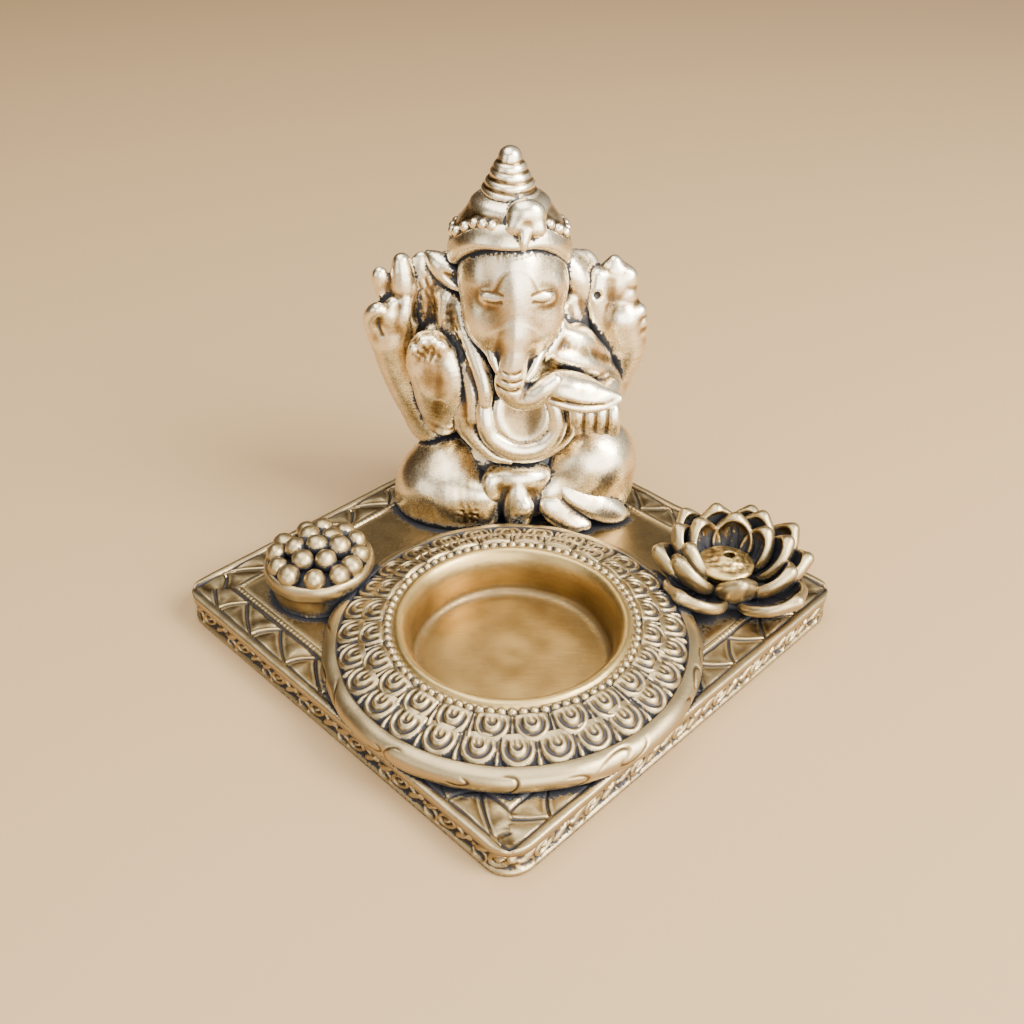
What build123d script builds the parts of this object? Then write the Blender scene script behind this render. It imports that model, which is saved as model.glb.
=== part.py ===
"""Ganesha tealight holder: a cast and gilded devotional table piece.

A square base lies with one corner to the front. On it stand a round tealight holder,
a seated four-armed Ganesha, a bowl of laddus and a lotus that holds an incense stick.
Millimetres, +Z up, origin at the middle of the base's underside, front corner at -Y.
Right and left are the figure's own, so its right side is at -X.
"""
import os
from math import cos, radians, sin, sqrt

from build123d import *

os.makedirs("parts", exist_ok=True)

# ---- Driving dimensions ----------------------------------------------------------
BASE_SIDE = 104.0
BASE_CORNER_RADIUS = 5.0
BASE_TOP = 7.3
BASE_EDGE_ROUND = 1.0
FRIEZE_BOTTOM = 1.5
FRIEZE_TOP = 5.9
FRIEZE_DEPTH = 0.6

CUP_CENTRE = (0.5, -20.3)
CUP_RADIUS = 21.0
CUP_WALL_OUTER = 23.0
CUP_UNDERSIDE = 3.6
CUP_FLOOR = 5.6
CUP_FLOOR_ROUND = 0.4
CUP_WALL_TOP = 14.0
LIP_RADIUS = 24.9
LIP_ROUND = 1.5
LIP_UNDERSIDE = 14.5
LIP_TOP = 16.4

BEAD_OUTER = 26.4
PETAL_SPLIT = 31.4
PETAL_OUTER = 36.4
PETAL_LAYER = 1.5
PETAL_INNER_TOP = 16.0
PETAL_OUTER_TOP = 12.3
BULGE_RADIUS = 39.3
BULGE_MIDDLE = 9.7
BULGE_FOOT = 37.0

BOWL_CENTRE = (-42.1, 0.4)
BOWL_FOOT_RADIUS = 10.6
BOWL_RADIUS = 12.0
BOWL_RIM_BOTTOM = 12.6
BOWL_RIM_TOP = 16.0
BOWL_FILL_EDGE = 14.6
BOWL_FILL_TOP = 16.4
LADDU_RADIUS = 2.05
LADDU_RINGS = ((0, 0.0, 18.7), (6, 4.25, 17.9), (12, 8.1, 16.4))

LOTUS_CENTRE = (48.5, 1.5)
LOTUS_POD_RADIUS = 4.8
LOTUS_POD_TOP = 15.0
LOTUS_POD_CHAMFER = 0.6
LOTUS_FOOT_RADIUS = 8.0
LOTUS_FOOT_HEIGHT = 2.2
INCENSE_RADIUS = 1.25
INCENSE_DEPTH = 6.0
PETAL_THICKNESS = 1.3
# Each row of petals: name, count, first angle, lean, length, width, root radius and height.
LOTUS_ROWS = (
    ("lotus_inner_petals", 6, 15, 68, 12.5, 7.6, 6.0, 8.8),
    ("lotus_middle_petals", 7, 40, 45, 14.5, 9.0, 6.6, 8.6),
    ("lotus_outer_petals", 8, 5, 15, 11.0, 8.5, 7.2, 8.0),
)

# The seated figure's rounded masses and its turned crown.
BELLY_CENTRE = (1.5, 34.8, 31.0)
BELLY_RADIUS = 14.8
BELLY_HALF_HEIGHT = 23.0
HEAD_CENTRE = (0.8, 33.0, 63.0)
HEAD_RADIUS = 10.9
HEAD_HALF_HEIGHT = 13.5
CROWN_AXIS = (0.2, 34.0)
CROWN_BAND_BOTTOM = 71.5
CROWN_BAND_TOP = 76.5
CROWN_BAND_ROUND = 2.0
CROWN_RADIUS = 12.9
CROWN_DOME_TOP = 85.5
SPIRE_RADIUS = 6.7
CROWN_TIP = 95.5
TIER_COUNT = 4
TIER_TAPER = 0.17
TIER_WALL_ANGLE = 14

WAY_OUT = 200.0


def write(piece, name):
    """Label a finished part and save it under its own name."""
    piece.part.label = name
    export_step(piece.part, f"parts/{name}.step")


def cut_below_base_top():
    """Take away everything lower than the base's top from the part being built."""
    with Locations((0, 0, BASE_TOP)):
        Box(
            WAY_OUT,
            WAY_OUT,
            WAY_OUT,
            align=(Align.CENTER, Align.CENTER, Align.MAX),
            mode=Mode.SUBTRACT,
        )


def limb(start, end, start_radius, end_radius):
    """A round tapered limb with a ball at each end, made as one turned solid."""
    foot = Vector(*start)
    along = Vector(*end) - foot
    length = along.length
    along = along.normalized()
    sideways = along.cross(Vector(0.31, 0.22, 0.93)).normalized()
    lean = (start_radius - end_radius) / length
    spread = sqrt(1 - lean * lean)
    section = Plane(origin=foot, x_dir=sideways, z_dir=sideways.cross(along))
    low_tangent = (start_radius * spread, start_radius * lean)
    high_tangent = (end_radius * spread, length + end_radius * lean)
    half_low = start_radius * sqrt((1 + lean) / 2)
    half_high = end_radius * sqrt((1 - lean) / 2)
    with BuildPart() as solid:
        with BuildSketch(section):
            with BuildLine():
                ThreePointArc(
                    (0, -start_radius),
                    (half_low, -sqrt(start_radius**2 - half_low**2)),
                    low_tangent,
                )
                Line(low_tangent, high_tangent)
                ThreePointArc(
                    high_tangent,
                    (half_high, length + sqrt(end_radius**2 - half_high**2)),
                    (0, length + end_radius),
                )
                Line((0, length + end_radius), (0, -start_radius))
            make_face()
        revolve(axis=Axis(foot, along))
    return solid.part


def egg(centre, radius, half_height):
    """A round body, taller than it is wide, turned about its own upright axis."""
    section = Plane(origin=centre, x_dir=(1, 0, 0), z_dir=(0, -1, 0))
    with BuildPart() as solid:
        with BuildSketch(section):
            Ellipse(radius, half_height)
            with Locations((-radius, 0)):
                Rectangle(2 * radius, 4 * half_height, mode=Mode.SUBTRACT)
        revolve(axis=Axis(centre, (0, 0, 1)))
    return solid.part


def figure_piece(name, limbs=(), eggs=(), minus=()):
    """One sculpted member: limbs and eggs joined, cut clear of earlier members and the base.

    Each limb is a run of (x, y, z, radius) knots.
    """
    with BuildPart() as member:
        for knots in limbs:
            for start, end in zip(knots, knots[1:]):
                add(limb(start[:3], end[:3], start[3], end[3]))
        for centre, radius, half_height in eggs:
            add(egg(centre, radius, half_height))
        for earlier in minus:
            add(earlier.part, mode=Mode.SUBTRACT)
        cut_below_base_top()
        biggest = member.part.solids().sort_by(SortBy.VOLUME)[-1]
        add(biggest, mode=Mode.REPLACE)
    write(member, name)
    return member


def turned_ring(name, outline, centre):
    """A solid turned about a vertical axis from (radius, height) corners."""
    with BuildPart() as ring:
        with BuildSketch(Plane(origin=(*centre, 0), x_dir=(1, 0, 0), z_dir=(0, -1, 0))):
            with BuildLine():
                Polyline(*outline, close=True)
            make_face()
        revolve(axis=Axis((*centre, 0), (0, 0, 1)))
    write(ring, name)
    return ring


# ---- Base ------------------------------------------------------------------------
diamond = Plane(origin=(0, 0, 0), x_dir=(1, 1, 0), z_dir=(0, 0, 1))
with BuildPart() as base_plate:
    with BuildSketch(diamond):
        RectangleRounded(BASE_SIDE, BASE_SIDE, BASE_CORNER_RADIUS)
    extrude(amount=BASE_TOP)
    chamfer(base_plate.faces().sort_by(Axis.Z)[-1].edges(), BASE_EDGE_ROUND)
    chamfer(base_plate.faces().sort_by(Axis.Z)[0].edges(), BASE_EDGE_ROUND * 0.5)
    # A shallow band round the sides carries the scroll frieze.
    with BuildSketch(diamond.offset(FRIEZE_BOTTOM)):
        RectangleRounded(BASE_SIDE + 2, BASE_SIDE + 2, BASE_CORNER_RADIUS + 1)
        RectangleRounded(
            BASE_SIDE - 2 * FRIEZE_DEPTH,
            BASE_SIDE - 2 * FRIEZE_DEPTH,
            BASE_CORNER_RADIUS - FRIEZE_DEPTH,
            mode=Mode.SUBTRACT,
        )
    extrude(amount=FRIEZE_TOP - FRIEZE_BOTTOM, mode=Mode.SUBTRACT)
    # The cup is let into a round pocket.
    with BuildSketch(Plane.XY.offset(CUP_UNDERSIDE)):
        with Locations(CUP_CENTRE):
            Circle(CUP_WALL_OUTER)
    extrude(amount=BASE_TOP, mode=Mode.SUBTRACT)
write(base_plate, "base_plate")

# ---- Tealight holder -------------------------------------------------------------
cup_plane = Plane(origin=(*CUP_CENTRE, 0), x_dir=(1, 0, 0), z_dir=(0, -1, 0))
cup_axis = Axis((*CUP_CENTRE, 0), (0, 0, 1))
lip_crest = (LIP_RADIUS - LIP_ROUND, LIP_TOP)
lip_edge = (LIP_RADIUS, LIP_TOP - LIP_ROUND)
mouth_round = LIP_TOP - CUP_WALL_TOP
half_turn = sqrt(0.5)
with BuildPart() as tealight_cup:
    with BuildSketch(cup_plane):
        with BuildLine():
            Polyline(
                (0, CUP_FLOOR),
                (0, CUP_UNDERSIDE),
                (CUP_WALL_OUTER, CUP_UNDERSIDE),
                (CUP_WALL_OUTER, LIP_UNDERSIDE),
                (LIP_RADIUS, LIP_UNDERSIDE),
                lip_edge,
            )
            ThreePointArc(
                lip_edge,
                (lip_crest[0] + LIP_ROUND * half_turn, lip_edge[1] + LIP_ROUND * half_turn),
                lip_crest,
            )
            ThreePointArc(
                lip_crest,
                (lip_crest[0] - mouth_round * half_turn, CUP_WALL_TOP + mouth_round * half_turn),
                (CUP_RADIUS, CUP_WALL_TOP),
            )
            Line((CUP_RADIUS, CUP_WALL_TOP), (CUP_RADIUS, CUP_FLOOR + CUP_FLOOR_ROUND))
            RadiusArc(
                (CUP_RADIUS, CUP_FLOOR + CUP_FLOOR_ROUND),
                (CUP_RADIUS - CUP_FLOOR_ROUND, CUP_FLOOR),
                CUP_FLOOR_ROUND,
            )
            Line((CUP_RADIUS - CUP_FLOOR_ROUND, CUP_FLOOR), (0, CUP_FLOOR))
        make_face()
    revolve(axis=cup_axis)
write(tealight_cup, "tealight_cup")


def petal_height(radius):
    """Height of the sloping petal surface at a distance from the cup's axis."""
    fall = (PETAL_INNER_TOP - PETAL_OUTER_TOP) / (PETAL_OUTER - LIP_RADIUS)
    return PETAL_INNER_TOP - (radius - LIP_RADIUS) * fall


with BuildPart() as holder_body:
    with BuildSketch(cup_plane):
        with BuildLine():
            Polyline(
                (PETAL_OUTER, PETAL_OUTER_TOP),
                (PETAL_OUTER, petal_height(PETAL_OUTER) - PETAL_LAYER),
                (LIP_RADIUS, petal_height(LIP_RADIUS) - PETAL_LAYER),
                (CUP_WALL_OUTER, LIP_UNDERSIDE),
                (CUP_WALL_OUTER, BASE_TOP),
                (BULGE_FOOT, BASE_TOP),
            )
            ThreePointArc(
                (BULGE_FOOT, BASE_TOP),
                (BULGE_RADIUS, BULGE_MIDDLE),
                (PETAL_OUTER, PETAL_OUTER_TOP),
            )
        make_face()
    revolve(axis=cup_axis)
write(holder_body, "holder_body")

RING_BANDS = (
    ("bead_ring", LIP_RADIUS, BEAD_OUTER),
    ("inner_petal_ring", BEAD_OUTER, PETAL_SPLIT),
    ("outer_petal_ring", PETAL_SPLIT, PETAL_OUTER),
)
rings = []
for ring_name, inner, outer in RING_BANDS:
    ring = turned_ring(
        ring_name,
        (
            (inner, petal_height(inner) - PETAL_LAYER),
            (outer, petal_height(outer) - PETAL_LAYER),
            (outer, petal_height(outer)),
            (inner, petal_height(inner)),
        ),
        CUP_CENTRE,
    )
    rings.append(ring)

# ---- Bowl of laddus --------------------------------------------------------------
bowl_axis = Axis((*BOWL_CENTRE, 0), (0, 0, 1))
with BuildPart() as laddu_bowl:
    with BuildSketch(Plane(origin=(*BOWL_CENTRE, 0), x_dir=(1, 0, 0), z_dir=(0, -1, 0))):
        with BuildLine():
            Polyline(
                (BOWL_RADIUS - 0.9, BOWL_RIM_TOP),
                (BOWL_RADIUS - 2.1, BOWL_FILL_EDGE),
                (BOWL_RADIUS * 0.45, BOWL_FILL_EDGE + 1.2),
                (0, BOWL_FILL_TOP),
                (0, BASE_TOP),
                (BOWL_FOOT_RADIUS, BASE_TOP),
                (BOWL_FOOT_RADIUS + 0.2, BOWL_RIM_BOTTOM - 0.4),
                (BOWL_RADIUS - 0.3, BOWL_RIM_BOTTOM),
            )
            ThreePointArc(
                (BOWL_RADIUS - 0.3, BOWL_RIM_BOTTOM),
                (BOWL_RADIUS, (BOWL_RIM_BOTTOM + BOWL_RIM_TOP) / 2),
                (BOWL_RADIUS - 0.9, BOWL_RIM_TOP),
            )
        make_face()
    revolve(axis=bowl_axis)
    add(holder_body.part, mode=Mode.SUBTRACT)
write(laddu_bowl, "laddu_bowl")

with BuildPart() as laddus:
    for count, ring_radius, height in LADDU_RINGS:
        with Locations(Plane.XY.offset(height)):
            with Locations(BOWL_CENTRE):
                if count:
                    with PolarLocations(ring_radius, count):
                        Sphere(LADDU_RADIUS)
                else:
                    Sphere(LADDU_RADIUS)
    add(laddu_bowl.part, mode=Mode.SUBTRACT)
write(laddus, "laddus")

# ---- Lotus incense holder --------------------------------------------------------
with BuildPart() as lotus_pod:
    with BuildSketch(Plane.XY.offset(BASE_TOP)):
        with Locations(LOTUS_CENTRE):
            Circle(LOTUS_POD_RADIUS)
    extrude(amount=LOTUS_POD_TOP - BASE_TOP)
    chamfer(lotus_pod.faces().sort_by(Axis.Z)[-1].edges(), LOTUS_POD_CHAMFER)
    with Locations((*LOTUS_CENTRE, LOTUS_POD_TOP)):
        Hole(INCENSE_RADIUS, INCENSE_DEPTH)
write(lotus_pod, "lotus_pod")


def petal_row(name, count, turn, lean, length, width, root_radius, root_height, minus):
    """A ring of pointed leaves that lean out from the lotus's foot."""
    with BuildPart() as row:
        for k in range(count):
            angle = turn + 360 * k / count
            outward = Vector(cos(radians(angle)), sin(radians(angle)), 0)
            rising = outward * cos(radians(lean)) + Vector(0, 0, sin(radians(lean)))
            across = Vector(0, 0, 1).cross(outward)
            root = Vector(*LOTUS_CENTRE, root_height) + outward * root_radius
            leaf = Plane(origin=root, x_dir=across, z_dir=across.cross(rising))
            with BuildSketch(leaf):
                with BuildLine():
                    ThreePointArc((0, length), (width / 2, length * 0.5), (width * 0.3, 0))
                    Line((width * 0.3, 0), (-width * 0.3, 0))
                    ThreePointArc((-width * 0.3, 0), (-width / 2, length * 0.5), (0, length))
                make_face()
            extrude(amount=PETAL_THICKNESS / 2, both=True)
        for earlier in minus:
            add(earlier.part, mode=Mode.SUBTRACT)
        cut_below_base_top()
    write(row, name)
    return row


with BuildPart() as lotus_foot:
    with BuildSketch(Plane.XY.offset(BASE_TOP)):
        with Locations(LOTUS_CENTRE):
            Circle(LOTUS_FOOT_RADIUS)
            Circle(LOTUS_POD_RADIUS, mode=Mode.SUBTRACT)
    extrude(amount=LOTUS_FOOT_HEIGHT)
write(lotus_foot, "lotus_foot")

earlier_pieces = [lotus_pod, lotus_foot, holder_body, *rings]
for row_shape in LOTUS_ROWS:
    earlier_pieces.append(petal_row(*row_shape, list(earlier_pieces)))

# ---- Seated figure ---------------------------------------------------------------
torso = figure_piece("torso", eggs=[(BELLY_CENTRE, BELLY_RADIUS, BELLY_HALF_HEIGHT)])
head = figure_piece("head", eggs=[(HEAD_CENTRE, HEAD_RADIUS, HEAD_HALF_HEIGHT)], minus=[torso])

with BuildPart() as crown_band:
    with BuildSketch(Plane.XY.offset(CROWN_BAND_BOTTOM)):
        with Locations(CROWN_AXIS):
            Circle(CROWN_RADIUS)
    extrude(amount=CROWN_BAND_TOP - CROWN_BAND_BOTTOM)
    fillet(crown_band.faces().sort_by(Axis.Z)[0].edges(), CROWN_BAND_ROUND)
    add(head.part, mode=Mode.SUBTRACT)
write(crown_band, "crown_band")

crown_axis = Axis((*CROWN_AXIS, 0), (0, 0, 1))
with BuildPart() as crown_dome:
    with BuildSketch(Plane(origin=(*CROWN_AXIS, 0), x_dir=(1, 0, 0), z_dir=(0, -1, 0))):
        with BuildLine():
            Polyline(
                (SPIRE_RADIUS, CROWN_DOME_TOP),
                (0, CROWN_DOME_TOP),
                (0, CROWN_BAND_TOP),
                (CROWN_RADIUS, CROWN_BAND_TOP),
            )
            ThreePointArc(
                (CROWN_RADIUS, CROWN_BAND_TOP),
                (CROWN_RADIUS * 0.84, (CROWN_BAND_TOP + CROWN_DOME_TOP) / 2 + 1),
                (SPIRE_RADIUS, CROWN_DOME_TOP),
            )
        make_face()
    revolve(axis=crown_axis)
    add(head.part, mode=Mode.SUBTRACT)
write(crown_dome, "crown_dome")

tier_height = (CROWN_TIP - CROWN_DOME_TOP) / (TIER_COUNT + 0.6)
knob_radius = tier_height * 0.8
with BuildPart() as crown_spire:
    for tier in range(TIER_COUNT):
        with BuildSketch(Plane.XY.offset(CROWN_DOME_TOP + tier * tier_height)):
            with Locations(CROWN_AXIS):
                Circle(SPIRE_RADIUS * (1 - TIER_TAPER * tier))
        extrude(amount=tier_height, taper=TIER_WALL_ANGLE)
    with Locations((*CROWN_AXIS, CROWN_TIP - knob_radius)):
        Sphere(knob_radius)
write(crown_spire, "crown_spire")

figure_piece(
    "crown_jewel",
    limbs=[[(2.8, 23.6, 80.6, 4.2), (2.8, 22.2, 75.6, 1.5)]],
    minus=[crown_band, crown_dome, head],
)
trunk = figure_piece(
    "trunk",
    limbs=[
        [
            (1.2, 24.0, 66.0, 3.6),
            (1.4, 20.6, 58.0, 3.5),
            (1.2, 18.6, 50.0, 4.1),
            (1.8, 18.0, 44.8, 3.6),
            (5.6, 17.2, 46.4, 2.8),
        ]
    ],
    minus=[head, torso],
)
figure_piece(
    "right_tusk",
    limbs=[[(-4.4, 24.0, 57.0, 1.5), (-3.6, 19.6, 53.2, 1.0)]],
    minus=[head, trunk, torso],
)
figure_piece(
    "left_tusk",
    limbs=[[(7.4, 24.0, 57.0, 1.6), (5.9, 17.9, 51.0, 1.1)]],
    minus=[head, trunk, torso],
)
right_ear = figure_piece(
    "right_ear",
    limbs=[[(-13.6, 37.0, 69.0, 3.6), (-13.2, 37.5, 57.5, 2.8)]],
    minus=[head, crown_band, torso],
)
left_ear = figure_piece(
    "left_ear",
    limbs=[[(14.4, 37.0, 67.5, 3.6), (14.0, 37.5, 55.0, 2.8)]],
    minus=[head, crown_band, torso],
)

right_leg = figure_piece(
    "right_leg",
    limbs=[[(-8.0, 38.0, 18.0, 9.8), (-19.0, 32.0, 16.4, 9.3), (-6.0, 26.5, 12.5, 5.4)]],
    minus=[torso, holder_body],
)
left_leg = figure_piece(
    "left_leg",
    limbs=[[(10.0, 38.0, 19.0, 9.8), (21.0, 33.0, 20.2, 9.6)]],
    minus=[torso, holder_body],
)
dhoti_fold = figure_piece(
    "dhoti_fold",
    limbs=[[(2.8, 27.0, 14.0, 4.2), (2.8, 22.6, 11.8, 4.5)]],
    minus=[torso, right_leg, left_leg, holder_body],
)
figure_piece(
    "left_foot",
    limbs=[[(10.0, 24.0, 10.8, 3.4), (17.5, 23.6, 12.2, 4.4), (23.5, 25.5, 11.6, 3.4)]],
    minus=[torso, left_leg, dhoti_fold, holder_body],
)
scarf = figure_piece(
    "scarf",
    limbs=[
        [
            (-8.4, 23.6, 50.0, 2.3),
            (-6.8, 20.6, 42.0, 2.4),
            (-6.2, 19.2, 34.0, 2.4),
            (-2.2, 18.2, 29.4, 2.5),
            (3.0, 17.8, 28.0, 2.5),
            (8.4, 18.4, 29.6, 2.5),
            (11.6, 20.2, 35.0, 2.4),
            (10.4, 22.0, 42.0, 2.3),
        ]
    ],
    minus=[torso, trunk, right_leg, left_leg],
)
shawl = figure_piece(
    "shawl",
    limbs=[
        [
            (-10.2, 30.5, 58.0, 2.2),
            (-10.6, 27.5, 46.0, 2.6),
            (-9.8, 24.0, 34.0, 2.8),
            (-8.0, 22.5, 26.0, 2.4),
        ]
    ],
    minus=[torso, head, scarf, right_leg, right_ear],
)

trunk_and_body = [torso, head, trunk, right_leg, left_leg, shawl, scarf, right_ear, left_ear]
upper_right_arm = figure_piece(
    "upper_right_arm",
    limbs=[[(-12.0, 40.0, 46.0, 5.2), (-20.0, 39.0, 31.5, 5.0), (-27.4, 38.0, 48.0, 4.1)]],
    minus=trunk_and_body,
)
upper_right_hand = figure_piece(
    "upper_right_hand",
    limbs=[[(-27.6, 37.8, 54.4, 4.4), (-26.8, 37.6, 58.6, 4.8)]],
    minus=[upper_right_arm, *trunk_and_body],
)
figure_piece(
    "right_emblem",
    limbs=[[(-23.8, 38.4, 62.0, 3.4), (-23.8, 38.4, 67.6, 3.2), (-28.4, 38.2, 64.6, 2.6)]],
    minus=[upper_right_arm, upper_right_hand, *trunk_and_body],
)
upper_left_arm = figure_piece(
    "upper_left_arm",
    limbs=[[(13.0, 40.0, 48.0, 5.2), (21.0, 39.0, 36.0, 5.0), (26.2, 38.0, 49.0, 4.6)]],
    minus=trunk_and_body,
)
upper_left_hand = figure_piece(
    "upper_left_hand",
    limbs=[[(26.2, 37.8, 54.4, 4.6), (26.2, 37.6, 59.0, 4.8)]],
    minus=[upper_left_arm, *trunk_and_body],
)
figure_piece(
    "left_emblem",
    limbs=[[(22.0, 38.4, 62.0, 4.0), (23.0, 38.4, 67.0, 3.4), (27.0, 38.2, 66.0, 2.6)]],
    minus=[upper_left_arm, upper_left_hand, *trunk_and_body],
)
lower_right_arm = figure_piece(
    "lower_right_arm",
    limbs=[[(-13.4, 34.0, 40.0, 4.6), (-14.6, 31.0, 30.0, 4.6), (-16.0, 28.4, 41.0, 4.2)]],
    minus=[upper_right_arm, *trunk_and_body],
)
figure_piece(
    "lower_right_hand",
    limbs=[[(-16.4, 27.4, 46.0, 4.4), (-16.8, 26.8, 53.0, 3.8)]],
    minus=[lower_right_arm, upper_right_arm, upper_right_hand, *trunk_and_body],
)
lower_left_arm = figure_piece(
    "lower_left_arm",
    limbs=[[(14.0, 35.0, 47.0, 5.0), (20.0, 32.0, 40.0, 4.6), (19.4, 25.0, 41.0, 4.0)]],
    minus=[upper_left_arm, *trunk_and_body],
)
lower_left_hand = figure_piece(
    "lower_left_hand",
    limbs=[[(17.4, 20.8, 41.6, 4.0), (20.4, 20.8, 41.6, 4.0)]],
    minus=[lower_left_arm, *trunk_and_body],
)
figure_piece(
    "sweet",
    limbs=[[(11.2, 18.4, 47.9, 2.6), (20.8, 18.8, 47.6, 2.7)]],
    minus=[lower_left_hand, lower_left_arm, *trunk_and_body],
)
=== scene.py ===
"""A gilded Ganesha tealight holder: the sculpted looks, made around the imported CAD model.

Sculpted members are clay: a block of distances on a fine grid, built up from eggs and limbs
that melt into each other, then skinned. Rings and borders are turned or swept meshes with
their relief worked out point by point. Millimetres in the CAD's own frame (+Z up, the
figure's right hand at -X) until a mesh is made, metres after that.
"""
import math

import bpy
import numpy as np
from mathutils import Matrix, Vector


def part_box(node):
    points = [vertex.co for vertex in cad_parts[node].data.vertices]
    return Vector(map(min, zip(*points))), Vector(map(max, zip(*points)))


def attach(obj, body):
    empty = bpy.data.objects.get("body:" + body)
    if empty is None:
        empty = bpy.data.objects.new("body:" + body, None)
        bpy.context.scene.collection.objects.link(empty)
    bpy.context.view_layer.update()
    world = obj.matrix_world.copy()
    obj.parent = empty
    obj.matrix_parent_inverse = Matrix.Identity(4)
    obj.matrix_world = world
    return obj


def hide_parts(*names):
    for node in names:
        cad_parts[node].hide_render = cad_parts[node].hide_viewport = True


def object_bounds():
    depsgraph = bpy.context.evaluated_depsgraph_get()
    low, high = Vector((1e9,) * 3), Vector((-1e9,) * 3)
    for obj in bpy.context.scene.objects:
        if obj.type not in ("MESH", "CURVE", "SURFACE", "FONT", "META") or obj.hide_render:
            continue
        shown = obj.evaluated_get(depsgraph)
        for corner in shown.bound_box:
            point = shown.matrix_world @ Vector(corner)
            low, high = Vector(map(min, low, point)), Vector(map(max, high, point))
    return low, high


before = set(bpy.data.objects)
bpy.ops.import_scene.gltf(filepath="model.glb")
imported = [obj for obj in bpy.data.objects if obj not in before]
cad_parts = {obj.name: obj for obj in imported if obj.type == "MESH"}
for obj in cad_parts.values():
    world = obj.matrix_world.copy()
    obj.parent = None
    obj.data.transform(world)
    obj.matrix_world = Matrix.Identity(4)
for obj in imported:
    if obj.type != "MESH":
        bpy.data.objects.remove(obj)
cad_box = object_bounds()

import openvdb as vdb
from mathutils import Euler

MM = 0.001
FULL_TURN = 2 * math.pi
# The distance, in millimetres, that empty clay starts from.
FAR = 4.0
# How far a piece runs on under its neighbour past a seam, and by how much it thins there.
TUCK_REACH, TUCK_FADE, TUCK_THINNING = 1.5, 1.4, 0.35


def corners_mm(node):
    """A CAD node's lowest and highest corners in millimetres."""
    low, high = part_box(node)
    return np.array(low) / MM, np.array(high) / MM


def middle_mm(node):
    """The middle of a CAD node's box in millimetres."""
    low, high = corners_mm(node)
    return (low + high) / 2


BASE_TOP = corners_mm("base_plate")[1][2]
CUP_CENTRE = middle_mm("tealight_cup")
BOWL_CENTRE = middle_mm("laddu_bowl")
LOTUS_CENTRE = middle_mm("lotus_pod")
# Standing members reach down to here, just under the base's top.
SEAT = BASE_TOP - 0.3


# ---- Shader nodes ----
def wire(tree, kind, inputs=None, **settings):
    """Adds a node, sets its properties and connects or sets its inputs."""
    node = tree.nodes.new(kind)
    for key, value in settings.items():
        setattr(node, key, value)
    for key, value in (inputs or {}).items():
        if isinstance(value, bpy.types.NodeSocket):
            tree.links.new(value, node.inputs[key])
        else:
            node.inputs[key].default_value = value
    return node


def ramp(tree, value, low, high):
    """A clamped rise from 0 at low to 1 at high."""
    node = wire(tree, "ShaderNodeMapRange", {"Value": value, "From Min": low, "From Max": high})
    node.interpolation_type = "SMOOTHSTEP"
    return node.outputs["Result"]


def arithmetic(tree, operation, a, b):
    """One sum, difference, product or maximum of two values."""
    node = wire(tree, "ShaderNodeMath", {0: a, 1: b}, operation=operation)
    return node.outputs[0]


def add_share(tree, a, b, share):
    """The sum of a and a share of b."""
    return arithmetic(tree, "ADD", a, arithmetic(tree, "MULTIPLY", b, share))


def blend(tree, amount, a, b):
    """A mix of two colours."""
    node = wire(tree, "ShaderNodeMix", data_type="RGBA")
    for socket, value in ((0, amount), (6, a), (7, b)):
        if isinstance(value, bpy.types.NodeSocket):
            tree.links.new(value, node.inputs[socket])
        else:
            node.inputs[socket].default_value = value
    return node.outputs[2]


def noise(tree, scale, detail, stretch=(1.0, 1.0, 1.0)):
    """Noise fixed in the object's own space; scale is in waves a metre."""
    place = wire(tree, "ShaderNodeTexCoord").outputs["Object"]
    mapping = wire(tree, "ShaderNodeMapping", {"Vector": place, "Scale": stretch})
    node = wire(
        tree,
        "ShaderNodeTexNoise",
        {"Vector": mapping.outputs["Vector"], "Scale": scale, "Detail": detail, "Roughness": 0.6},
    )
    return node.outputs["Fac"]


# ---- Camera, light and floor ----
CAMERA_PLACE_MM = (0.46, -191.6, 166.0)
CAMERA_PITCH = 35.72
CAMERA_LENS = 38.93
ROOM_BRIGHT_WAY = (0.62, -0.60, 0.50)
ROOM_BRIGHT = (1.0, 0.97, 0.93, 1.0)
ROOM_DIM = (0.07, 0.045, 0.025, 1.0)
ROOM_FADE = (-0.60, 0.95)
LAMP_AIM = (0.0, 0.0, 0.03)
# Soft rectangular lamps as (name, place, size, watts, colour), in metres.
LAMPS = (
    ("window", (0.50, -0.20, 0.55), (0.30, 0.36), 14.0, (1.0, 0.97, 0.92)),
    ("ceiling", (-0.18, -0.02, 0.86), (0.85, 0.60), 10.0, (1.0, 0.98, 0.95)),
    ("side", (0.74, -0.40, 0.32), (0.55, 0.52), 5.0, (1.0, 0.98, 0.95)),
    ("left", (-0.66, -0.48, 0.34), (0.45, 0.45), 1.6, (1.0, 0.98, 0.95)),
    ("front", (0.34, -0.84, 0.39), (1.15, 0.72), 17.0, (1.0, 0.98, 0.94)),
)
FLOOR_REACH = 3.0
FLOOR_COLOUR = (0.40, 0.262, 0.126, 1.0)


def make_camera():
    """A viewpoint in front of the figure and above it, looking down."""
    lens = bpy.data.cameras.new("camera")
    lens.lens = CAMERA_LENS
    lens.sensor_width = 36.0
    lens.clip_start = 0.01
    eye = bpy.data.objects.new("camera", lens)
    eye.location = [c * MM for c in CAMERA_PLACE_MM]
    eye.rotation_euler = (math.radians(90.0 - CAMERA_PITCH), 0.0, 0.0)
    bpy.context.scene.collection.objects.link(eye)
    bpy.context.scene.camera = eye


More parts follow.
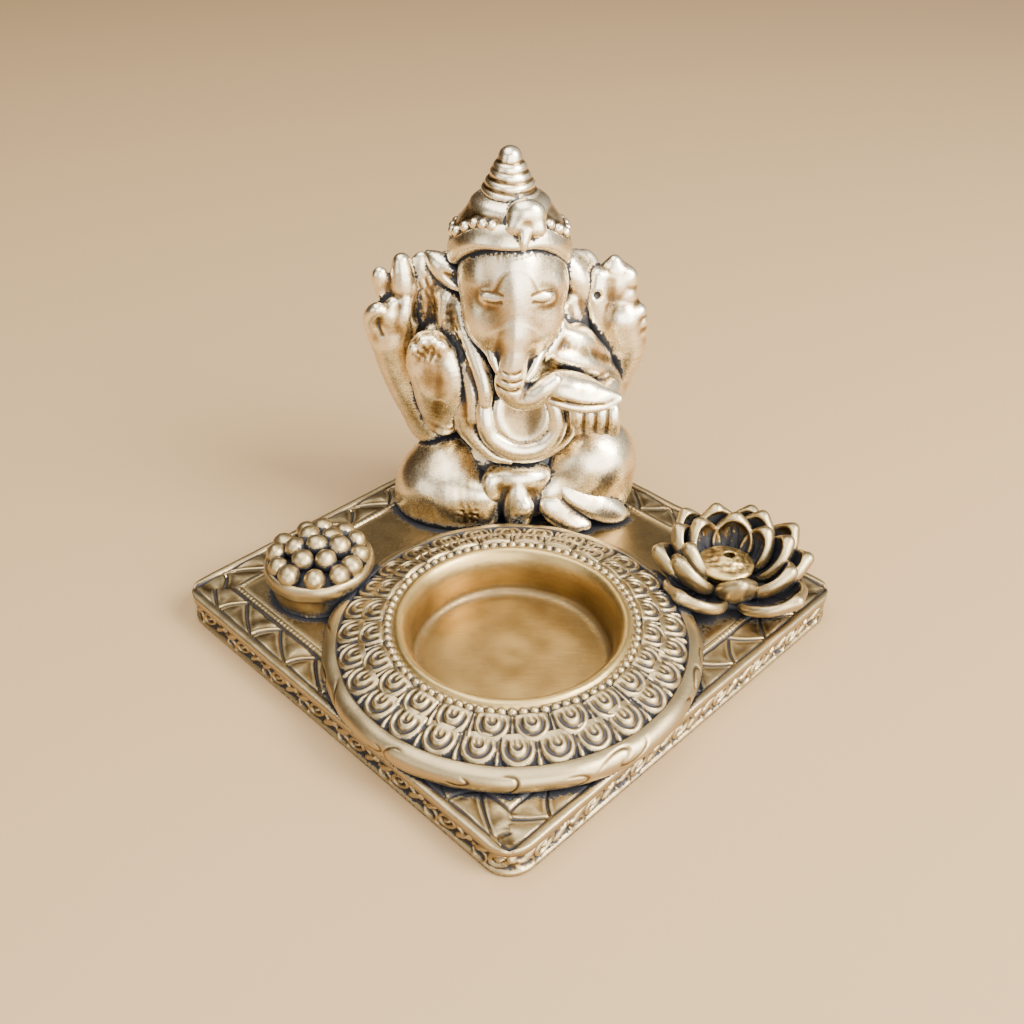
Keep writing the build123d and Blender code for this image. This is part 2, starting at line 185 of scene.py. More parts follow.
def area_light(name, place, size, power, colour):
    """A soft rectangular lamp that faces the figure."""
    lamp = bpy.data.lights.new(name, "AREA")
    lamp.shape = "RECTANGLE"
    lamp.size, lamp.size_y = size
    lamp.energy = power
    lamp.color = colour
    holder = bpy.data.objects.new(name, lamp)
    holder.location = place
    aim = np.array(LAMP_AIM) - np.array(place)
    pitch = math.atan2(math.hypot(aim[0], aim[1]), -aim[2])
    heading = math.atan2(aim[1], aim[0]) - math.pi / 2
    holder.rotation_euler = (pitch, 0.0, heading)
    bpy.context.scene.collection.objects.link(holder)


def make_studio():
    """A plain room, bright from the upper right and dim and warm elsewhere, with lamps and a floor."""
    world = bpy.data.worlds.new("studio")
    bpy.context.scene.world = world
    world.use_nodes = True
    tree = world.node_tree
    way = wire(tree, "ShaderNodeTexCoord").outputs["Generated"]
    toward = wire(tree, "ShaderNodeVectorMath", {0: way, 1: ROOM_BRIGHT_WAY}, operation="DOT_PRODUCT")
    room = blend(tree, ramp(tree, toward.outputs["Value"], *ROOM_FADE), ROOM_DIM, ROOM_BRIGHT)
    tree.links.new(room, tree.nodes["Background"].inputs["Color"])
    tree.nodes["Background"].inputs["Strength"].default_value = 1.0
    for lamp in LAMPS:
        area_light(*lamp)

    sheet = bpy.data.meshes.new("floor")
    corners = [(x * FLOOR_REACH, y * FLOOR_REACH, 0.0) for x, y in ((-1, -1), (1, -1), (1, 1), (-1, 1))]
    sheet.from_pydata(corners, [], [(0, 1, 2, 3)])
    floor = bpy.data.objects.new("floor", sheet)
    bpy.context.scene.collection.objects.link(floor)
    paint = bpy.data.materials.new("pale_floor")
    paint.use_nodes = True
    shader = paint.node_tree.nodes["Principled BSDF"]
    shader.inputs["Base Color"].default_value = FLOOR_COLOUR
    shader.inputs["Roughness"].default_value = 0.55
    floor.data.materials.append(paint)


# ---- Clay: sculpting by distance ----
def melt(a, b, k):
    """The nearer of two distances, rounded over a width k where they meet."""
    if k <= 0:
        return np.minimum(a, b)
    h = np.clip(0.5 + 0.5 * (b - a) / k, 0.0, 1.0)
    return b + (a - b) * h - k * h * (1.0 - h)


def melt_cut(a, b, k):
    """The farther of two distances, rounded over a width k: what two shapes share."""
    return -melt(-a, -b, k)


def smooth_curve(knots, steps):
    """Points along a Catmull-Rom curve through knots of any width."""
    knots = np.array(knots, float)
    padded = np.vstack([2 * knots[0] - knots[1], knots, 2 * knots[-1] - knots[-2]])
    t = np.linspace(0, 1, steps, endpoint=False)[:, None]
    runs = []
    for a, b, c, d in zip(padded, padded[1:], padded[2:], padded[3:]):
        bend = 2 * a - 5 * b + 4 * c - d
        runs.append(0.5 * (2 * b + (c - a) * t + bend * t**2 + (3 * b - a - 3 * c + d) * t**3))
    return np.vstack(runs + [knots[-1:]])


def ripple(x, y, z, pitch, seed):
    """A smooth uneven wave in space, about from -1 to 1, with bumps about a pitch apart."""
    rng = np.random.default_rng(seed)
    total = 0.0
    for _ in range(6):
        heading = rng.normal(size=3)
        heading *= FULL_TURN / (pitch * np.linalg.norm(heading) * rng.uniform(0.8, 1.7))
        phase = rng.uniform(0, FULL_TURN)
        total = total + np.sin(x * heading[0] + y * heading[1] + z * heading[2] + phase)
    return (total / 3.0).astype(np.float32)


class Clay:
    """A block of space on a regular grid that holds the distance to a sculpted surface."""

    def __init__(self, low, high, step):
        self.step = step
        self.low = np.array(low, float) - 2 * step
        self.count = np.ceil((np.array(high) - self.low) / step).astype(int) + 3
        self.d = np.full(self.count, FAR, np.float32)

    def block(self, low, high):
        """The slices and open coordinates of the grid points within a box."""
        first = np.clip(np.floor((np.array(low) - self.low) / self.step).astype(int), 0, self.count)
        last = np.clip(np.ceil((np.array(high) - self.low) / self.step).astype(int) + 1, 0, self.count)
        cut = tuple(slice(a, b) for a, b in zip(first, last))
        axes = []
        for axis in range(3):
            line = self.low[axis] + self.step * np.arange(first[axis], last[axis])
            shape = [1, 1, 1]
            shape[axis] = len(line)
            axes.append(line.astype(np.float32).reshape(shape))
        return cut, axes

    def whole(self):
        """The open coordinates of the whole grid."""
        return self.block(self.low, self.low + self.step * self.count)[1]

    def lay(self, shape, low, high, k, cut=False):
        """Adds a shape, or cuts it away, blending over a width k."""
        room = max(k, 0.0) + 3 * self.step
        where, (x, y, z) = self.block(np.array(low) - room, np.array(high) + room)
        if 0 in self.d[where].shape:
            return self
        new = shape(x, y, z).astype(np.float32)
        old = self.d[where]
        self.d[where] = -melt(-old, new, k) if cut else melt(old, new, k)
        return self

    def egg(self, centre, radii, k=1.0, turn=(0, 0, 0), cut=False):
        """A stretched ball, turned by Euler angles in degrees or by a matrix of its axes."""
        radii = np.broadcast_to(np.array(radii, float), 3)
        spin = np.array(turn, float)
        if spin.ndim == 1:
            spin = np.array(Euler(np.radians(spin)).to_matrix())
        reach = np.sqrt((spin**2) @ (radii**2))

        def shape(x, y, z):
            p = (x - centre[0], y - centre[1], z - centre[2])
            near = 0.0
            slope = 0.0
            for axis in range(3):
                local = sum(spin[row, axis] * p[row] for row in range(3))
                near = near + (local / radii[axis]) ** 2
                slope = slope + (local / radii[axis] ** 2) ** 2
            near = np.sqrt(near)
            return near * (near - 1.0) / np.maximum(np.sqrt(slope), 1e-6)

        return self.lay(shape, np.array(centre) - reach, np.array(centre) + reach, k, cut)

    def limb(self, knots, k=1.0, steps=5, cut=False):
        """A smooth tube through (x, y, z, radius) knots."""
        line = smooth_curve(knots, steps) if steps > 1 else np.array(knots, float)
        low = (line[:, :3] - line[:, 3:]).min(axis=0)
        high = (line[:, :3] + line[:, 3:]).max(axis=0)

        def shape(x, y, z):
            nearest = np.float32(FAR * 4)
            for a, b in zip(line, line[1:]):
                run = b[:3] - a[:3]
                length = float(run @ run)
                px, py, pz = x - a[0], y - a[1], z - a[2]
                along = np.clip((px * run[0] + py * run[1] + pz * run[2]) / length, 0, 1)
                dx, dy, dz = px - run[0] * along, py - run[1] * along, pz - run[2] * along
                radius = a[3] + (b[3] - a[3]) * along
                gap = np.sqrt(dx * dx + dy * dy + dz * dz) - radius
                nearest = np.minimum(nearest, gap)
            return nearest

        return self.lay(shape, low, high, k, cut)

    def floor(self, height):
        """Cuts everything below a height."""
        z = self.whole()[2]
        self.d = np.maximum(self.d, (height - z).astype(np.float32))
        return self

    def front(self, x, z):
        """How far back the clay begins, seen from the front at x and z."""
        i, k = (int(round((value - self.low[axis]) / self.step)) for value, axis in ((x, 0), (z, 2)))
        column = self.d[i, :, k]
        j = int(np.argmax(column < 0.0))
        share = column[j] / (column[j - 1] - column[j]) if j > 0 else 0.0
        return self.low[1] + self.step * (j + share)

    def score(self, marks, k=0.3):
        """Cuts a shallow line into the front along (x, z, radius) marks."""
        return self.limb([(x, self.front(x, z), z, radius) for x, z, radius in marks], k, cut=True)

    def tuck(self, point, normal):
        """Ends the clay just past a plane, where it dips under the neighbour's skin."""
        x, y, z = self.whole()
        n = np.array(normal, float) / np.linalg.norm(normal)
        past = (x - point[0]) * n[0] + (y - point[1]) * n[1] + (z - point[2]) * n[2]
        self.d = self.d + (TUCK_THINNING * smoothstep(0.0, TUCK_FADE, past)).astype(np.float32)
        self.d = np.maximum(self.d, (past - TUCK_REACH).astype(np.float32))
        return self

    def roughen(self, height, pitch, seed):
        """The slight unevenness of a hand-finished casting."""
        self.d = self.d + height * ripple(*self.whole(), pitch, seed)
        return self

    def coarsen(self, centre, radii, height, pitch, seed):
        """A patch of rough, pitted texture that fades out at the edge of an egg-shaped region."""
        where, (x, y, z) = self.block(np.array(centre) - radii, np.array(centre) + radii)
        reach = np.sqrt(sum(((p - c) / r) ** 2 for p, c, r in zip((x, y, z), centre, radii)))
        pits = ripple(x, y, z, pitch, seed) + 0.6 * ripple(x, y, z, pitch * 0.55, seed + 1)
        self.d[where] += (height * smoothstep(1.0, 0.55, reach) * pits).astype(np.float32)
        return self

    def copy(self):
        """A second block with the same clay."""
        twin = Clay.__new__(Clay)
        twin.step, twin.low, twin.count, twin.d = self.step, self.low, self.count, self.d.copy()
        return twin

    def skin(self, name):
        """The clay's surface as a closed mesh of quads, pulled onto the true surface."""
        self.d[0], self.d[-1] = FAR, FAR
        self.d[:, 0], self.d[:, -1] = FAR, FAR
        self.d[:, :, 0], self.d[:, :, -1] = FAR, FAR
        grid = vdb.FloatGrid(FAR)
        grid.copyFromArray(self.d)
        points, quads = grid.convertToQuads(isovalue=0.0)
        points = points.astype(np.float64)
        for _ in range(2):
            value = sample(self.d, points)
            slope = np.stack(
                [
                    (sample(self.d, points + step) - sample(self.d, points - step))
                    for step in np.eye(3) * 0.5
                ],
                axis=1,
            )
            square = np.maximum((slope**2).sum(axis=1), 0.05 * self.step**2)
            move = np.clip(value / square, -0.6, 0.6)
            points = points - slope * move[:, None]
        return add_mesh(name, self.low + settle(points, quads) * self.step, quads[:, ::-1])


def settle(points, quads):
    """Evens out the faint facets that a grid leaves, without shrinking the form."""
    start, end = quads.ravel(), np.roll(quads, -1, axis=1).ravel()
    degree = np.bincount(start, minlength=len(points))[:, None]
    for share in (0.5, -0.52) * 4:
        mean = [np.bincount(start, points[end, axis], len(points)) for axis in range(3)]
        points = points + share * (np.stack(mean, axis=1) / degree - points)
    return points


def sample(block, points):
    """Values of a 3-D block at points in its own index units, blended between neighbours."""
    top = np.array(block.shape) - 2
    base = np.clip(np.floor(points).astype(int), 0, top)
    f = np.clip(points - base, 0.0, 1.0)
    i, j, k = base.T
    total = 0.0
    for di in (0, 1):
        for dj in (0, 1):
            for dk in (0, 1):
                weight = (
                    (f[:, 0] if di else 1 - f[:, 0])
                    * (f[:, 1] if dj else 1 - f[:, 1])
                    * (f[:, 2] if dk else 1 - f[:, 2])
                )
                total = total + weight * block[i + di, j + dj, k + dk]
    return total


# ---- Meshes ----
PIECES = []


def read_rows(items, field, width, kind=float):
    """One field of a mesh's points, edges or triangles, as an array with a row for each."""
    values = np.empty(len(items) * width, kind)
    items.foreach_get(field, values)
    return values.reshape(-1, width)


def triangles_of(mesh):
    """The point numbers of a mesh's triangles."""
    mesh.calc_loop_triangles()
    return read_rows(mesh.loop_triangles, "vertices", 3, np.int32)


def enclosed_volume(mesh):
    """The volume inside a closed mesh, negative if its faces point inward."""
    a, b, c = read_rows(mesh.vertices, "co", 3)[triangles_of(mesh)].transpose(1, 0, 2)
    return float(np.einsum("ij,ij->i", a, np.cross(b, c)).sum() / 6)


def add_mesh(name, points, faces):
    """A smooth-shaded object from millimetre points and a list or array of faces."""
    mesh = bpy.data.meshes.new(name)
    if isinstance(faces, np.ndarray):
        faces = faces.tolist()
    mesh.from_pydata((np.asarray(points) * MM).tolist(), [], faces)
    mesh.validate()
    if enclosed_volume(mesh) < 0:
        mesh.flip_normals()
    mesh.shade_smooth()
    piece = bpy.data.objects.new(name, mesh)
    bpy.context.scene.collection.objects.link(piece)
    PIECES.append(piece)
    return piece


def grid_faces(rows, columns, loop_rows, loop_columns):
    """The quads of a sheet of points that may close on itself either way."""
    a = np.arange(rows if loop_rows else rows - 1)
    b = np.arange(columns if loop_columns else columns - 1)
    r, c = np.meshgrid(a, b, indexing="ij")
    r2, c2 = (r + 1) % rows, (c + 1) % columns
    corners = [r * columns + c, r2 * columns + c, r2 * columns + c2, r * columns + c2]
    return np.stack(corners, axis=-1).reshape(-1, 4)


def hoop(name, points):
    """A closed ring from (around, along the section's loop, xyz) points."""
    rows, columns = points.shape[:2]
    return add_mesh(name, points.reshape(-1, 3), grid_faces(rows, columns, True, True))


def around(centre, radius, angle, height):
    """Points at given radii, angles and heights round an upright axis."""
    x = centre[0] + radius * np.cos(angle)
    y = centre[1] + radius * np.sin(angle)
    return np.stack(np.broadcast_arrays(x, y, height), axis=-1)


def angles(count):
    """Even steps round a full turn, as a column."""
    return np.linspace(0, FULL_TURN, count, endpoint=False)[:, None]


def ripple_round(radius, angle, height, pitch, seed):
    """The uneven wave at points round an upright axis."""
    return ripple(radius * np.cos(angle), radius * np.sin(angle), height, pitch, seed)


def turned(name, radius, height, centre):
    """A turned solid with a middle point at each end of its section.

    radius and height are (around, section) arrays; the first and last section columns
    are the rings nearest the axis.
    """
    rows, columns = radius.shape
    points = around(centre, radius, angles(rows), height).reshape(-1, 3)
    faces = grid_faces(rows, columns, True, False).tolist()
    for column, flip in ((0, True), (columns - 1, False)):
        ring = np.arange(rows) * columns + column
        hub = len(points)
        points = np.vstack([points, [[centre[0], centre[1], points[ring, 2].mean()]]])
        for a, b in zip(ring, np.roll(ring, -1)):
            faces.append((hub, b, a) if flip else (hub, a, b))
    return add_mesh(name, points, faces)


def smoothstep(low, high, value):
    """0 below low, 1 above high, and a smooth rise between."""
    t = np.clip((value - low) / (high - low), 0.0, 1.0)
    return t * t * (3 - 2 * t)


def bump(value, width):
    """A round hill of height 1 and about this half-width."""
    return np.exp(-((value / width) ** 2))


# ---- Base: ornamented border, scroll frieze and field ----
# The square base stands with a corner to the front, so its box reaches across its diagonal.
DIAGONAL = math.sqrt(0.5)
PLATE_ROUND = 5.0
PLATE_ACROSS = np.ptp([corner[0] for corner in corners_mm("base_plate")])
SIDE = (PLATE_ACROSS + 2 * PLATE_ROUND * (math.sqrt(2) - 1)) / math.sqrt(2)
CORNER_ROUND = 6.0
BORDER_WIDTH = 9.9
FIELD_TOP = BASE_TOP - 0.1
RIB_CREST = BASE_TOP + 0.2
BAND_OUTER, BAND_INNER = 1.9, 7.5
# For each side, in order from the left corner round the front: where the first zigzag
# point lies, the zigzag's pitch, and how far along a pitch its inner point is.
ZIGZAGS = ((11.5, 12.4, 0.25), (12.3, 11.1, 0.48), (10.5, 12.0, 0.40), (10.0, 12.0, 0.35))
SIDE_WAYS = (((1, -1), (1, 1)), ((1, 1), (-1, 1)), ((-1, 1), (-1, -1)), ((-1, -1), (1, -1)))
SIDE_STARTS = ((-1, 0), (0, -1), (1, 0), (0, 1))


def side_frame(k):
    """A side's starting corner, its direction and its inward normal."""
    start = np.array(SIDE_STARTS[k]) * SIDE * DIAGONAL
    along, inward = (np.array(way) * DIAGONAL for way in SIDE_WAYS[k])
    return start, along, inward


def border_columns(inset, straight, corner):
    """Plan points round the base for each inset, as (around, inset, xy)."""
    inset = np.asarray(inset, float)
    corner_radius = np.maximum(CORNER_ROUND - 0.45 * inset, 0.8)
    columns = []
    for k in range(4):
        start, along, inward = side_frame(k)
        edge = inset + corner_radius
        for t in np.linspace(0, 1, straight, endpoint=False):
            u = edge + t * (SIDE - 2 * edge)
            columns.append(start + u[:, None] * along + inset[:, None] * inward)
        for t in np.linspace(0, math.pi / 2, corner, endpoint=False):
            u = SIDE - edge + corner_radius * math.sin(t)
            v = edge - corner_radius * math.cos(t)
            columns.append(start + u[:, None] * along + v[:, None] * inward)
    return np.stack(columns)


def side_places(xy):
    """For plan points, the nearest side's number and the distances along it and inward."""
    frames = [side_frame(k) for k in range(4)]
    along = np.stack([(xy - start) @ way for start, way, _ in frames])
    inward = np.stack([(xy - start) @ way for start, _, way in frames])
    which = inward.argmin(axis=0)
    nearest = [np.take_along_axis(block, which[None], axis=0)[0] for block in (along, inward)]
    return which, *nearest


def segment_distance(u, v, a, b):
    """Distance in a plane from points to a segment."""
    run = (b[0] - a[0], b[1] - a[1])
    t = np.clip(((u - a[0]) * run[0] + (v - a[1]) * run[1]) / (run[0] ** 2 + run[1] ** 2), 0, 1)
    return np.hypot(u - a[0] - t * run[0], v - a[1] - t * run[1])


def border_height(xy):
    """Height of the border's top: outer rib, zigzag-cut pads, thin rail and the field's edge."""
    which, u, v = side_places(xy)
    height = np.full(v.shape, BASE_TOP - 0.35)
    groove = np.full(v.shape, 9.0)
    for k, (first, pitch, skew) in enumerate(ZIGZAGS):
        bow = 0.7 * np.sin(np.clip((v - BAND_OUTER) / (BAND_INNER - BAND_OUTER), 0, 1) * math.pi)
        turn = np.mod(u + bow - first, pitch)
        gap = np.full(v.shape, 9.0)
        for shift in (-1, 0, 1):
            outer = (shift * pitch, BAND_OUTER)
            inner = ((shift + skew) * pitch, BAND_INNER)
            following = ((shift + 1) * pitch, BAND_OUTER)
            gap = np.minimum(gap, segment_distance(turn, v, outer, inner))
            gap = np.minimum(gap, segment_distance(turn, v, inner, following))
        groove = np.where(which == k, gap, groove)
    band = smoothstep(BAND_OUTER - 0.3, BAND_OUTER + 0.2, v)
    band = band * smoothstep(BAND_INNER + 0.9, BAND_INNER + 0.3, v)
    pads = 0.34 * (1 - bump(groove, 1.7)) + 0.10 * bump(groove - 0.55, 0.26) - 0.40 * bump(groove, 0.17)
    wear = ripple(xy[..., 0], xy[..., 1], 0 * v, 5.0, 17)
    height = height + band * (pads * (1 + 0.3 * wear) + 0.06 * wear)
    rib = np.sqrt(np.clip(1 - ((v - 0.85) / 1.1) ** 2, 0, 1))
    height = np.where(v < 1.85, RIB_CREST - 0.85 + 0.85 * rib + 0.05 * wear, height)
    height = height - 0.22 * bump(v - 1.95, 0.2)
    rail = smoothstep(8.0, 8.5, v) * smoothstep(9.75, 9.25, v)
    notches = 0.025 * np.sin(u * FULL_TURN / 1.15) * (1 + wear)
    height = height + rail * (0.66 + notches) - 0.22 * bump(v - 7.95, 0.22)
    edge = smoothstep(BORDER_WIDTH - 0.35, BORDER_WIDTH, v)
    return height * (1 - edge) + (FIELD_TOP - 0.25) * edge


def ellipse_distance(u, v, centre, radii, lean):
    """Rough distance from points in a plane to the line of a leaning ellipse."""
    c, s = math.cos(math.radians(lean)), math.sin(math.radians(lean))
    p = ((u - centre[0]) * c + (v - centre[1]) * s) / radii[0]
    q = (-(u - centre[0]) * s + (v - centre[1]) * c) / radii[1]
    return (np.hypot(p, q) - 1.0) * min(radii)


FRIEZE_PITCH = 13.0
FRIEZE_FIRST = 22.5
FRIEZE_MIDDLE = 3.55
# Open loops of the scroll as (across, up, radii, lean, half the line's width).
FRIEZE_LOOPS = (
    (0.0, 0.0, (2.3, 1.25), 28.0, 0.26),
    (-4.9, -1.3, (2.1, 1.1), -12.0, 0.16),
    (4.9, 1.3, (2.1, 1.1), -12.0, 0.16),
)


def frieze_depth(u, z):
    """How far the side stands out at a point: rims above and below, scrolls between them."""
    turn = np.mod(u, FRIEZE_PITCH) - FRIEZE_PITCH / 2
    shapes = [ellipse_distance(turn, z, (0.0, FRIEZE_MIDDLE), (1.0, 0.35), 28.0)]
    for across, up, radii, lean, half_line in FRIEZE_LOOPS:
        loop = ellipse_distance(turn, z, (across, FRIEZE_MIDDLE + up), radii, lean)
        shapes.append(np.abs(loop) - half_line)
    for across, up in ((-4.0, 0.45), (4.1, -0.45)):
        shapes.append(ellipse_distance(turn, z, (across, FRIEZE_MIDDLE + up), (2.2, 0.62), 34.0))
    scroll = np.minimum.reduce(shapes)
    scroll = scroll + 0.12 * ripple(u, z, 0 * z, 7.0, 19)
    relief = 0.62 * smoothstep(0.25, -0.2, scroll)
    sunk = smoothstep(1.15, 1.5, z) * smoothstep(5.75, 5.4, z)
    return -sunk * (1.0 - 1.3 * relief)


def make_base():
    """The border's top, the frieze round its edge, and the plain field inside."""
    inset = np.concatenate([np.linspace(0.0, 1.8, 10), np.linspace(2.0, BORDER_WIDTH, 36)])
    straight, corner = 370, 16

    def sheet(insets, height):
        plan = border_columns(insets, straight, corner)
        return np.dstack([plan, np.broadcast_to(height(plan), plan.shape[:2])])

    top = sheet(inset, border_height)
    under = sheet([BORDER_WIDTH, 0.0], lambda plan: BASE_TOP - 1.6)
    border = hoop("base_border", np.concatenate([top, under], axis=1)[:, ::-1])

    heights = np.concatenate([[0.0, 0.12, 0.4], np.linspace(0.6, 6.2, 30), [6.5, 6.8]])
    plan = border_columns([0.0], straight, corner)[:, 0]
    _, u, _ = side_places(plan)
    outward = plan / np.linalg.norm(plan, axis=1)[:, None]
    for k in range(4):
        start, along, inward = side_frame(k)
        rows = slice(k * (straight + corner), k * (straight + corner) + straight)
        outward[rows] = -inward
        turn = np.linspace(0, math.pi / 2, corner, endpoint=False)[:, None]
        corner_rows = slice(rows.stop, rows.stop + corner)
        outward[corner_rows] = -inward * np.cos(turn) + along * np.sin(turn)
    z = np.broadcast_to(heights, (len(plan), len(heights)))
    depth = frieze_depth(u[:, None] - FRIEZE_FIRST + FRIEZE_PITCH / 2, z)
    depth = depth - 0.35 * smoothstep(0.45, 0.0, z) - 0.05 * smoothstep(6.0, 6.8, z)
    face = np.dstack([plan[:, None] + outward[:, None] * depth[..., None], z])
    back_top = sheet([3.0], lambda plan: heights[-1])
    back_low = sheet([3.0], lambda plan: 0.0)
    frieze = hoop("base_frieze", np.concatenate([back_low, face, back_top], axis=1)[:, ::-1])

    half = SIDE / 2 - BORDER_WIDTH + 0.6
    clay = Clay((-62, -62, 0.0), (62, 62, FIELD_TOP), 0.6)

    def slab(x, y, z):
        p = np.abs(x + y) * DIAGONAL - half
        q = np.abs(x - y) * DIAGONAL - half
        return np.maximum(np.maximum(p, q), np.abs(z - FIELD_TOP / 2) - FIELD_TOP / 2)

    def pocket(x, y, z):
        reach = np.hypot(x - CUP_CENTRE[0], y - CUP_CENTRE[1]) - CUP_SEAT_RADIUS
        return np.maximum(reach, corners_mm("tealight_cup")[0][2] - z)

    clay.lay(slab, (-62, -62, 0), (62, 62, FIELD_TOP), 0.0)
    clay.lay(pocket, (-30, -50, 0), (30, 10, 20), 0.0, cut=True)
    field = clay.skin("base_field")
    for piece in (border, frieze, field):
        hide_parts("base_plate")
    return [border, frieze, field]


# ---- Tealight holder ----
PETAL_OUTER = 36.4
PETAL_EDGE_TOP = 12.3
PETAL_HALF_WIDTH = 3.65
SLOPE = -0.32
RIDGE_PITCH = 1.65
ROUND_STEPS = 960
BULGE_RADIUS, BULGE_HEIGHT = 39.3, 9.9
CUP_SEAT_RADIUS = 23.0
# The cup's section as (radius, height), from its floor's middle over the lip.
CUP_SECTION = (
    (0.3, 5.6), (6, 5.6), (12, 5.6), (17, 5.6), (19.2, 5.7), (20.3, 6.1), (20.9, 6.9), (21.0, 8.2),
    (21.0, 9.8), (21.05, 11.4), (21.25, 13.0), (21.75, 14.5), (22.5, 15.7), (23.3, 16.25),
    (24.1, 16.1), (24.75, 15.4), (24.9, 14.5), (24.3, 13.4),
)


def slope_height(radius):
    """Height of the sloping surface that the petals lie on."""
    return 15.9 + (radius - 25.0) * SLOPE


def petal_relief(radius, angle, count, start, end, seed):
    """A row of round-ended petals with nested ridges and slim tongues between: height, bare ground."""
    rng = np.random.default_rng(seed)
    pitch = FULL_TURN / count
    index = np.floor(angle / pitch).astype(int) % count
    spans = ((-0.12, 0.12), (-0.10, 0.12), (-0.18, 0.18))
    wobble, lift, reach = (rng.uniform(low, high, count)[index] for low, high in spans)
    across = (np.mod(angle, pitch) - pitch / 2) * radius + wobble
    width = PETAL_HALF_WIDTH * (radius / ((start + end) / 2))
    heart = end - 4.0
    below = np.maximum(radius - heart, 0) / (end + reach - heart)
    outline = (np.hypot(across / width, below) - 1) * width
    inside = smoothstep(0.12, -0.22, outline)
    wave = np.cos((outline + 0.62) * FULL_TURN / RIDGE_PITCH)
    ridges = 0.34 * wave * smoothstep(-width, -0.75 * width, outline)
    ridges = ridges * smoothstep(heart - 1.6, heart + 1.0, radius)
    crown = 0.70 * np.sin(np.clip(-outline / width, 0, 1) * math.pi / 2) ** 0.7
    petal = 0.42 + lift + ridges + crown
    gap_across = (pitch / 2 - np.abs(np.mod(angle, pitch) - pitch / 2)) * radius
    tongue_width = 0.20 + 0.45 * smoothstep(start, end, radius)
    tongue = np.hypot(gap_across, np.maximum(radius - (end - 0.1) + tongue_width, 0)) - tongue_width
    between = smoothstep(0.10, -0.18, tongue)
    raised = np.maximum(inside * petal, between * (0.45 + 0.42 * smoothstep(0.0, -0.6, tongue)))
    return raised, 1 - np.maximum(inside, between)


def ring_piece(name, inner, outer, steps, top_height):
    """A ring with a relief on top: top_height(radius, angle) is its upper surface."""
    r, a = np.broadcast_arrays(np.linspace(inner, outer, steps), angles(ROUND_STEPS))
    upper = around(CUP_CENTRE, r, a, top_height(r, a))
    edges = r[:, [-1, 0]]
    lower = around(CUP_CENTRE, edges, a[:, :2], slope_height(edges) - 3.0)
    piece = hoop(name, np.concatenate([upper, lower], axis=1))
    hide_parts(name)
    return piece


def make_rings():
    """The bead ring and the two rows of lotus petals round the cup."""

    def beads(r, a):
        count = 78
        turn = (np.mod(a * count / FULL_TURN, 1.0) - 0.5) * FULL_TURN * 25.7 / count
        ball = np.sqrt(np.clip(1 - (turn / 0.98) ** 2 - ((r - 25.8) / 0.85) ** 2, 0, 1))
        return slope_height(r) - 0.45 + 0.95 * ball

    def inner_row(r, a):
        raised, bare = petal_relief(r, a, 24, 26.6, 32.2, 11)
        sunk = -0.35 - 2.2 * smoothstep(31.2, 32.4, r)
        level = slope_height(r) - 0.25 - 0.5 * smoothstep(30.5, 32.3, r)
        return level + sunk * bare + raised - 0.8 * smoothstep(26.9, 26.2, r)

    def outer_row(r, a):
        raised, bare = petal_relief(r, a + 0.08, 28, 31.2, 36.5, 23)
        level = slope_height(r) - 0.55 - 0.55 * smoothstep(35.0, 36.4, r)
        return level - 0.4 * bare + raised

    return [
        ring_piece("bead_ring", 24.6, 27.0, 12, beads),
        ring_piece("inner_petal_ring", 26.2, 32.7, 36, inner_row),
        ring_piece("outer_petal_ring", 30.4, 36.7, 36, outer_row),
    ]


def make_holder():
    """The smooth bulging wall of the holder, with a few faint curls cut into it."""
    top_radius, foot_radius = PETAL_OUTER - 0.2, 36.6
    foot_z, top_z = BASE_TOP - 0.5, PETAL_EDGE_TOP + 0.1
    t = np.linspace(-0.42 * math.pi, 0.5 * math.pi, 34)
    end_radius = np.where(t < 0, foot_radius, top_radius)
    section_r = end_radius + (BULGE_RADIUS - end_radius) * np.cos(t)
    rise = np.where(t < 0, BULGE_HEIGHT - foot_z, top_z - BULGE_HEIGHT)
    section_z = BULGE_HEIGHT + rise * np.sin(t)
    r = np.broadcast_to(section_r, (ROUND_STEPS, len(t)))
    a = np.broadcast_to(angles(ROUND_STEPS), r.shape)
    u = a * BULGE_RADIUS
    v = np.broadcast_to(t, r.shape) * 3.0
    carve = np.zeros(r.shape)
    rng = np.random.default_rng(31)
    curls = 25
    for k in range(curls):
        centre = (FULL_TURN * BULGE_RADIUS * (k + rng.uniform(0.2, 0.8)) / curls, rng.uniform(-1.4, 1.6))
        radii = (rng.uniform(2.2, 5.5), rng.uniform(1.0, 2.1))
        line = np.abs(ellipse_distance(u, v, centre, radii, rng.uniform(-40, 40)))
        part = smoothstep(-0.4, 0.6, np.sin(np.arctan2(v - centre[1], u - centre[0]) + rng.uniform(0, 6)))
        carve = carve - rng.uniform(0.22, 0.40) * bump(line, 0.20) * part
    carve = carve + 0.16 * ripple_round(r, a, v, 11.0, 5)
    r = r + carve * np.cos(np.clip(t, -1.3, 1.3))
    outer = around(CUP_CENTRE, r, a, section_z + carve * np.sin(t))
    inner_r = np.array([PETAL_OUTER - 0.5, PETAL_OUTER - 1.2, 23.2, 23.2])
    inner_z = np.array([PETAL_EDGE_TOP - 0.2, 10.4, 13.0, foot_z])
    inner = around(CUP_CENTRE, inner_r, a[:, :4], inner_z)
    piece = hoop("holder_body", np.concatenate([outer, inner], axis=1))
    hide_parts("holder_body")
    return piece


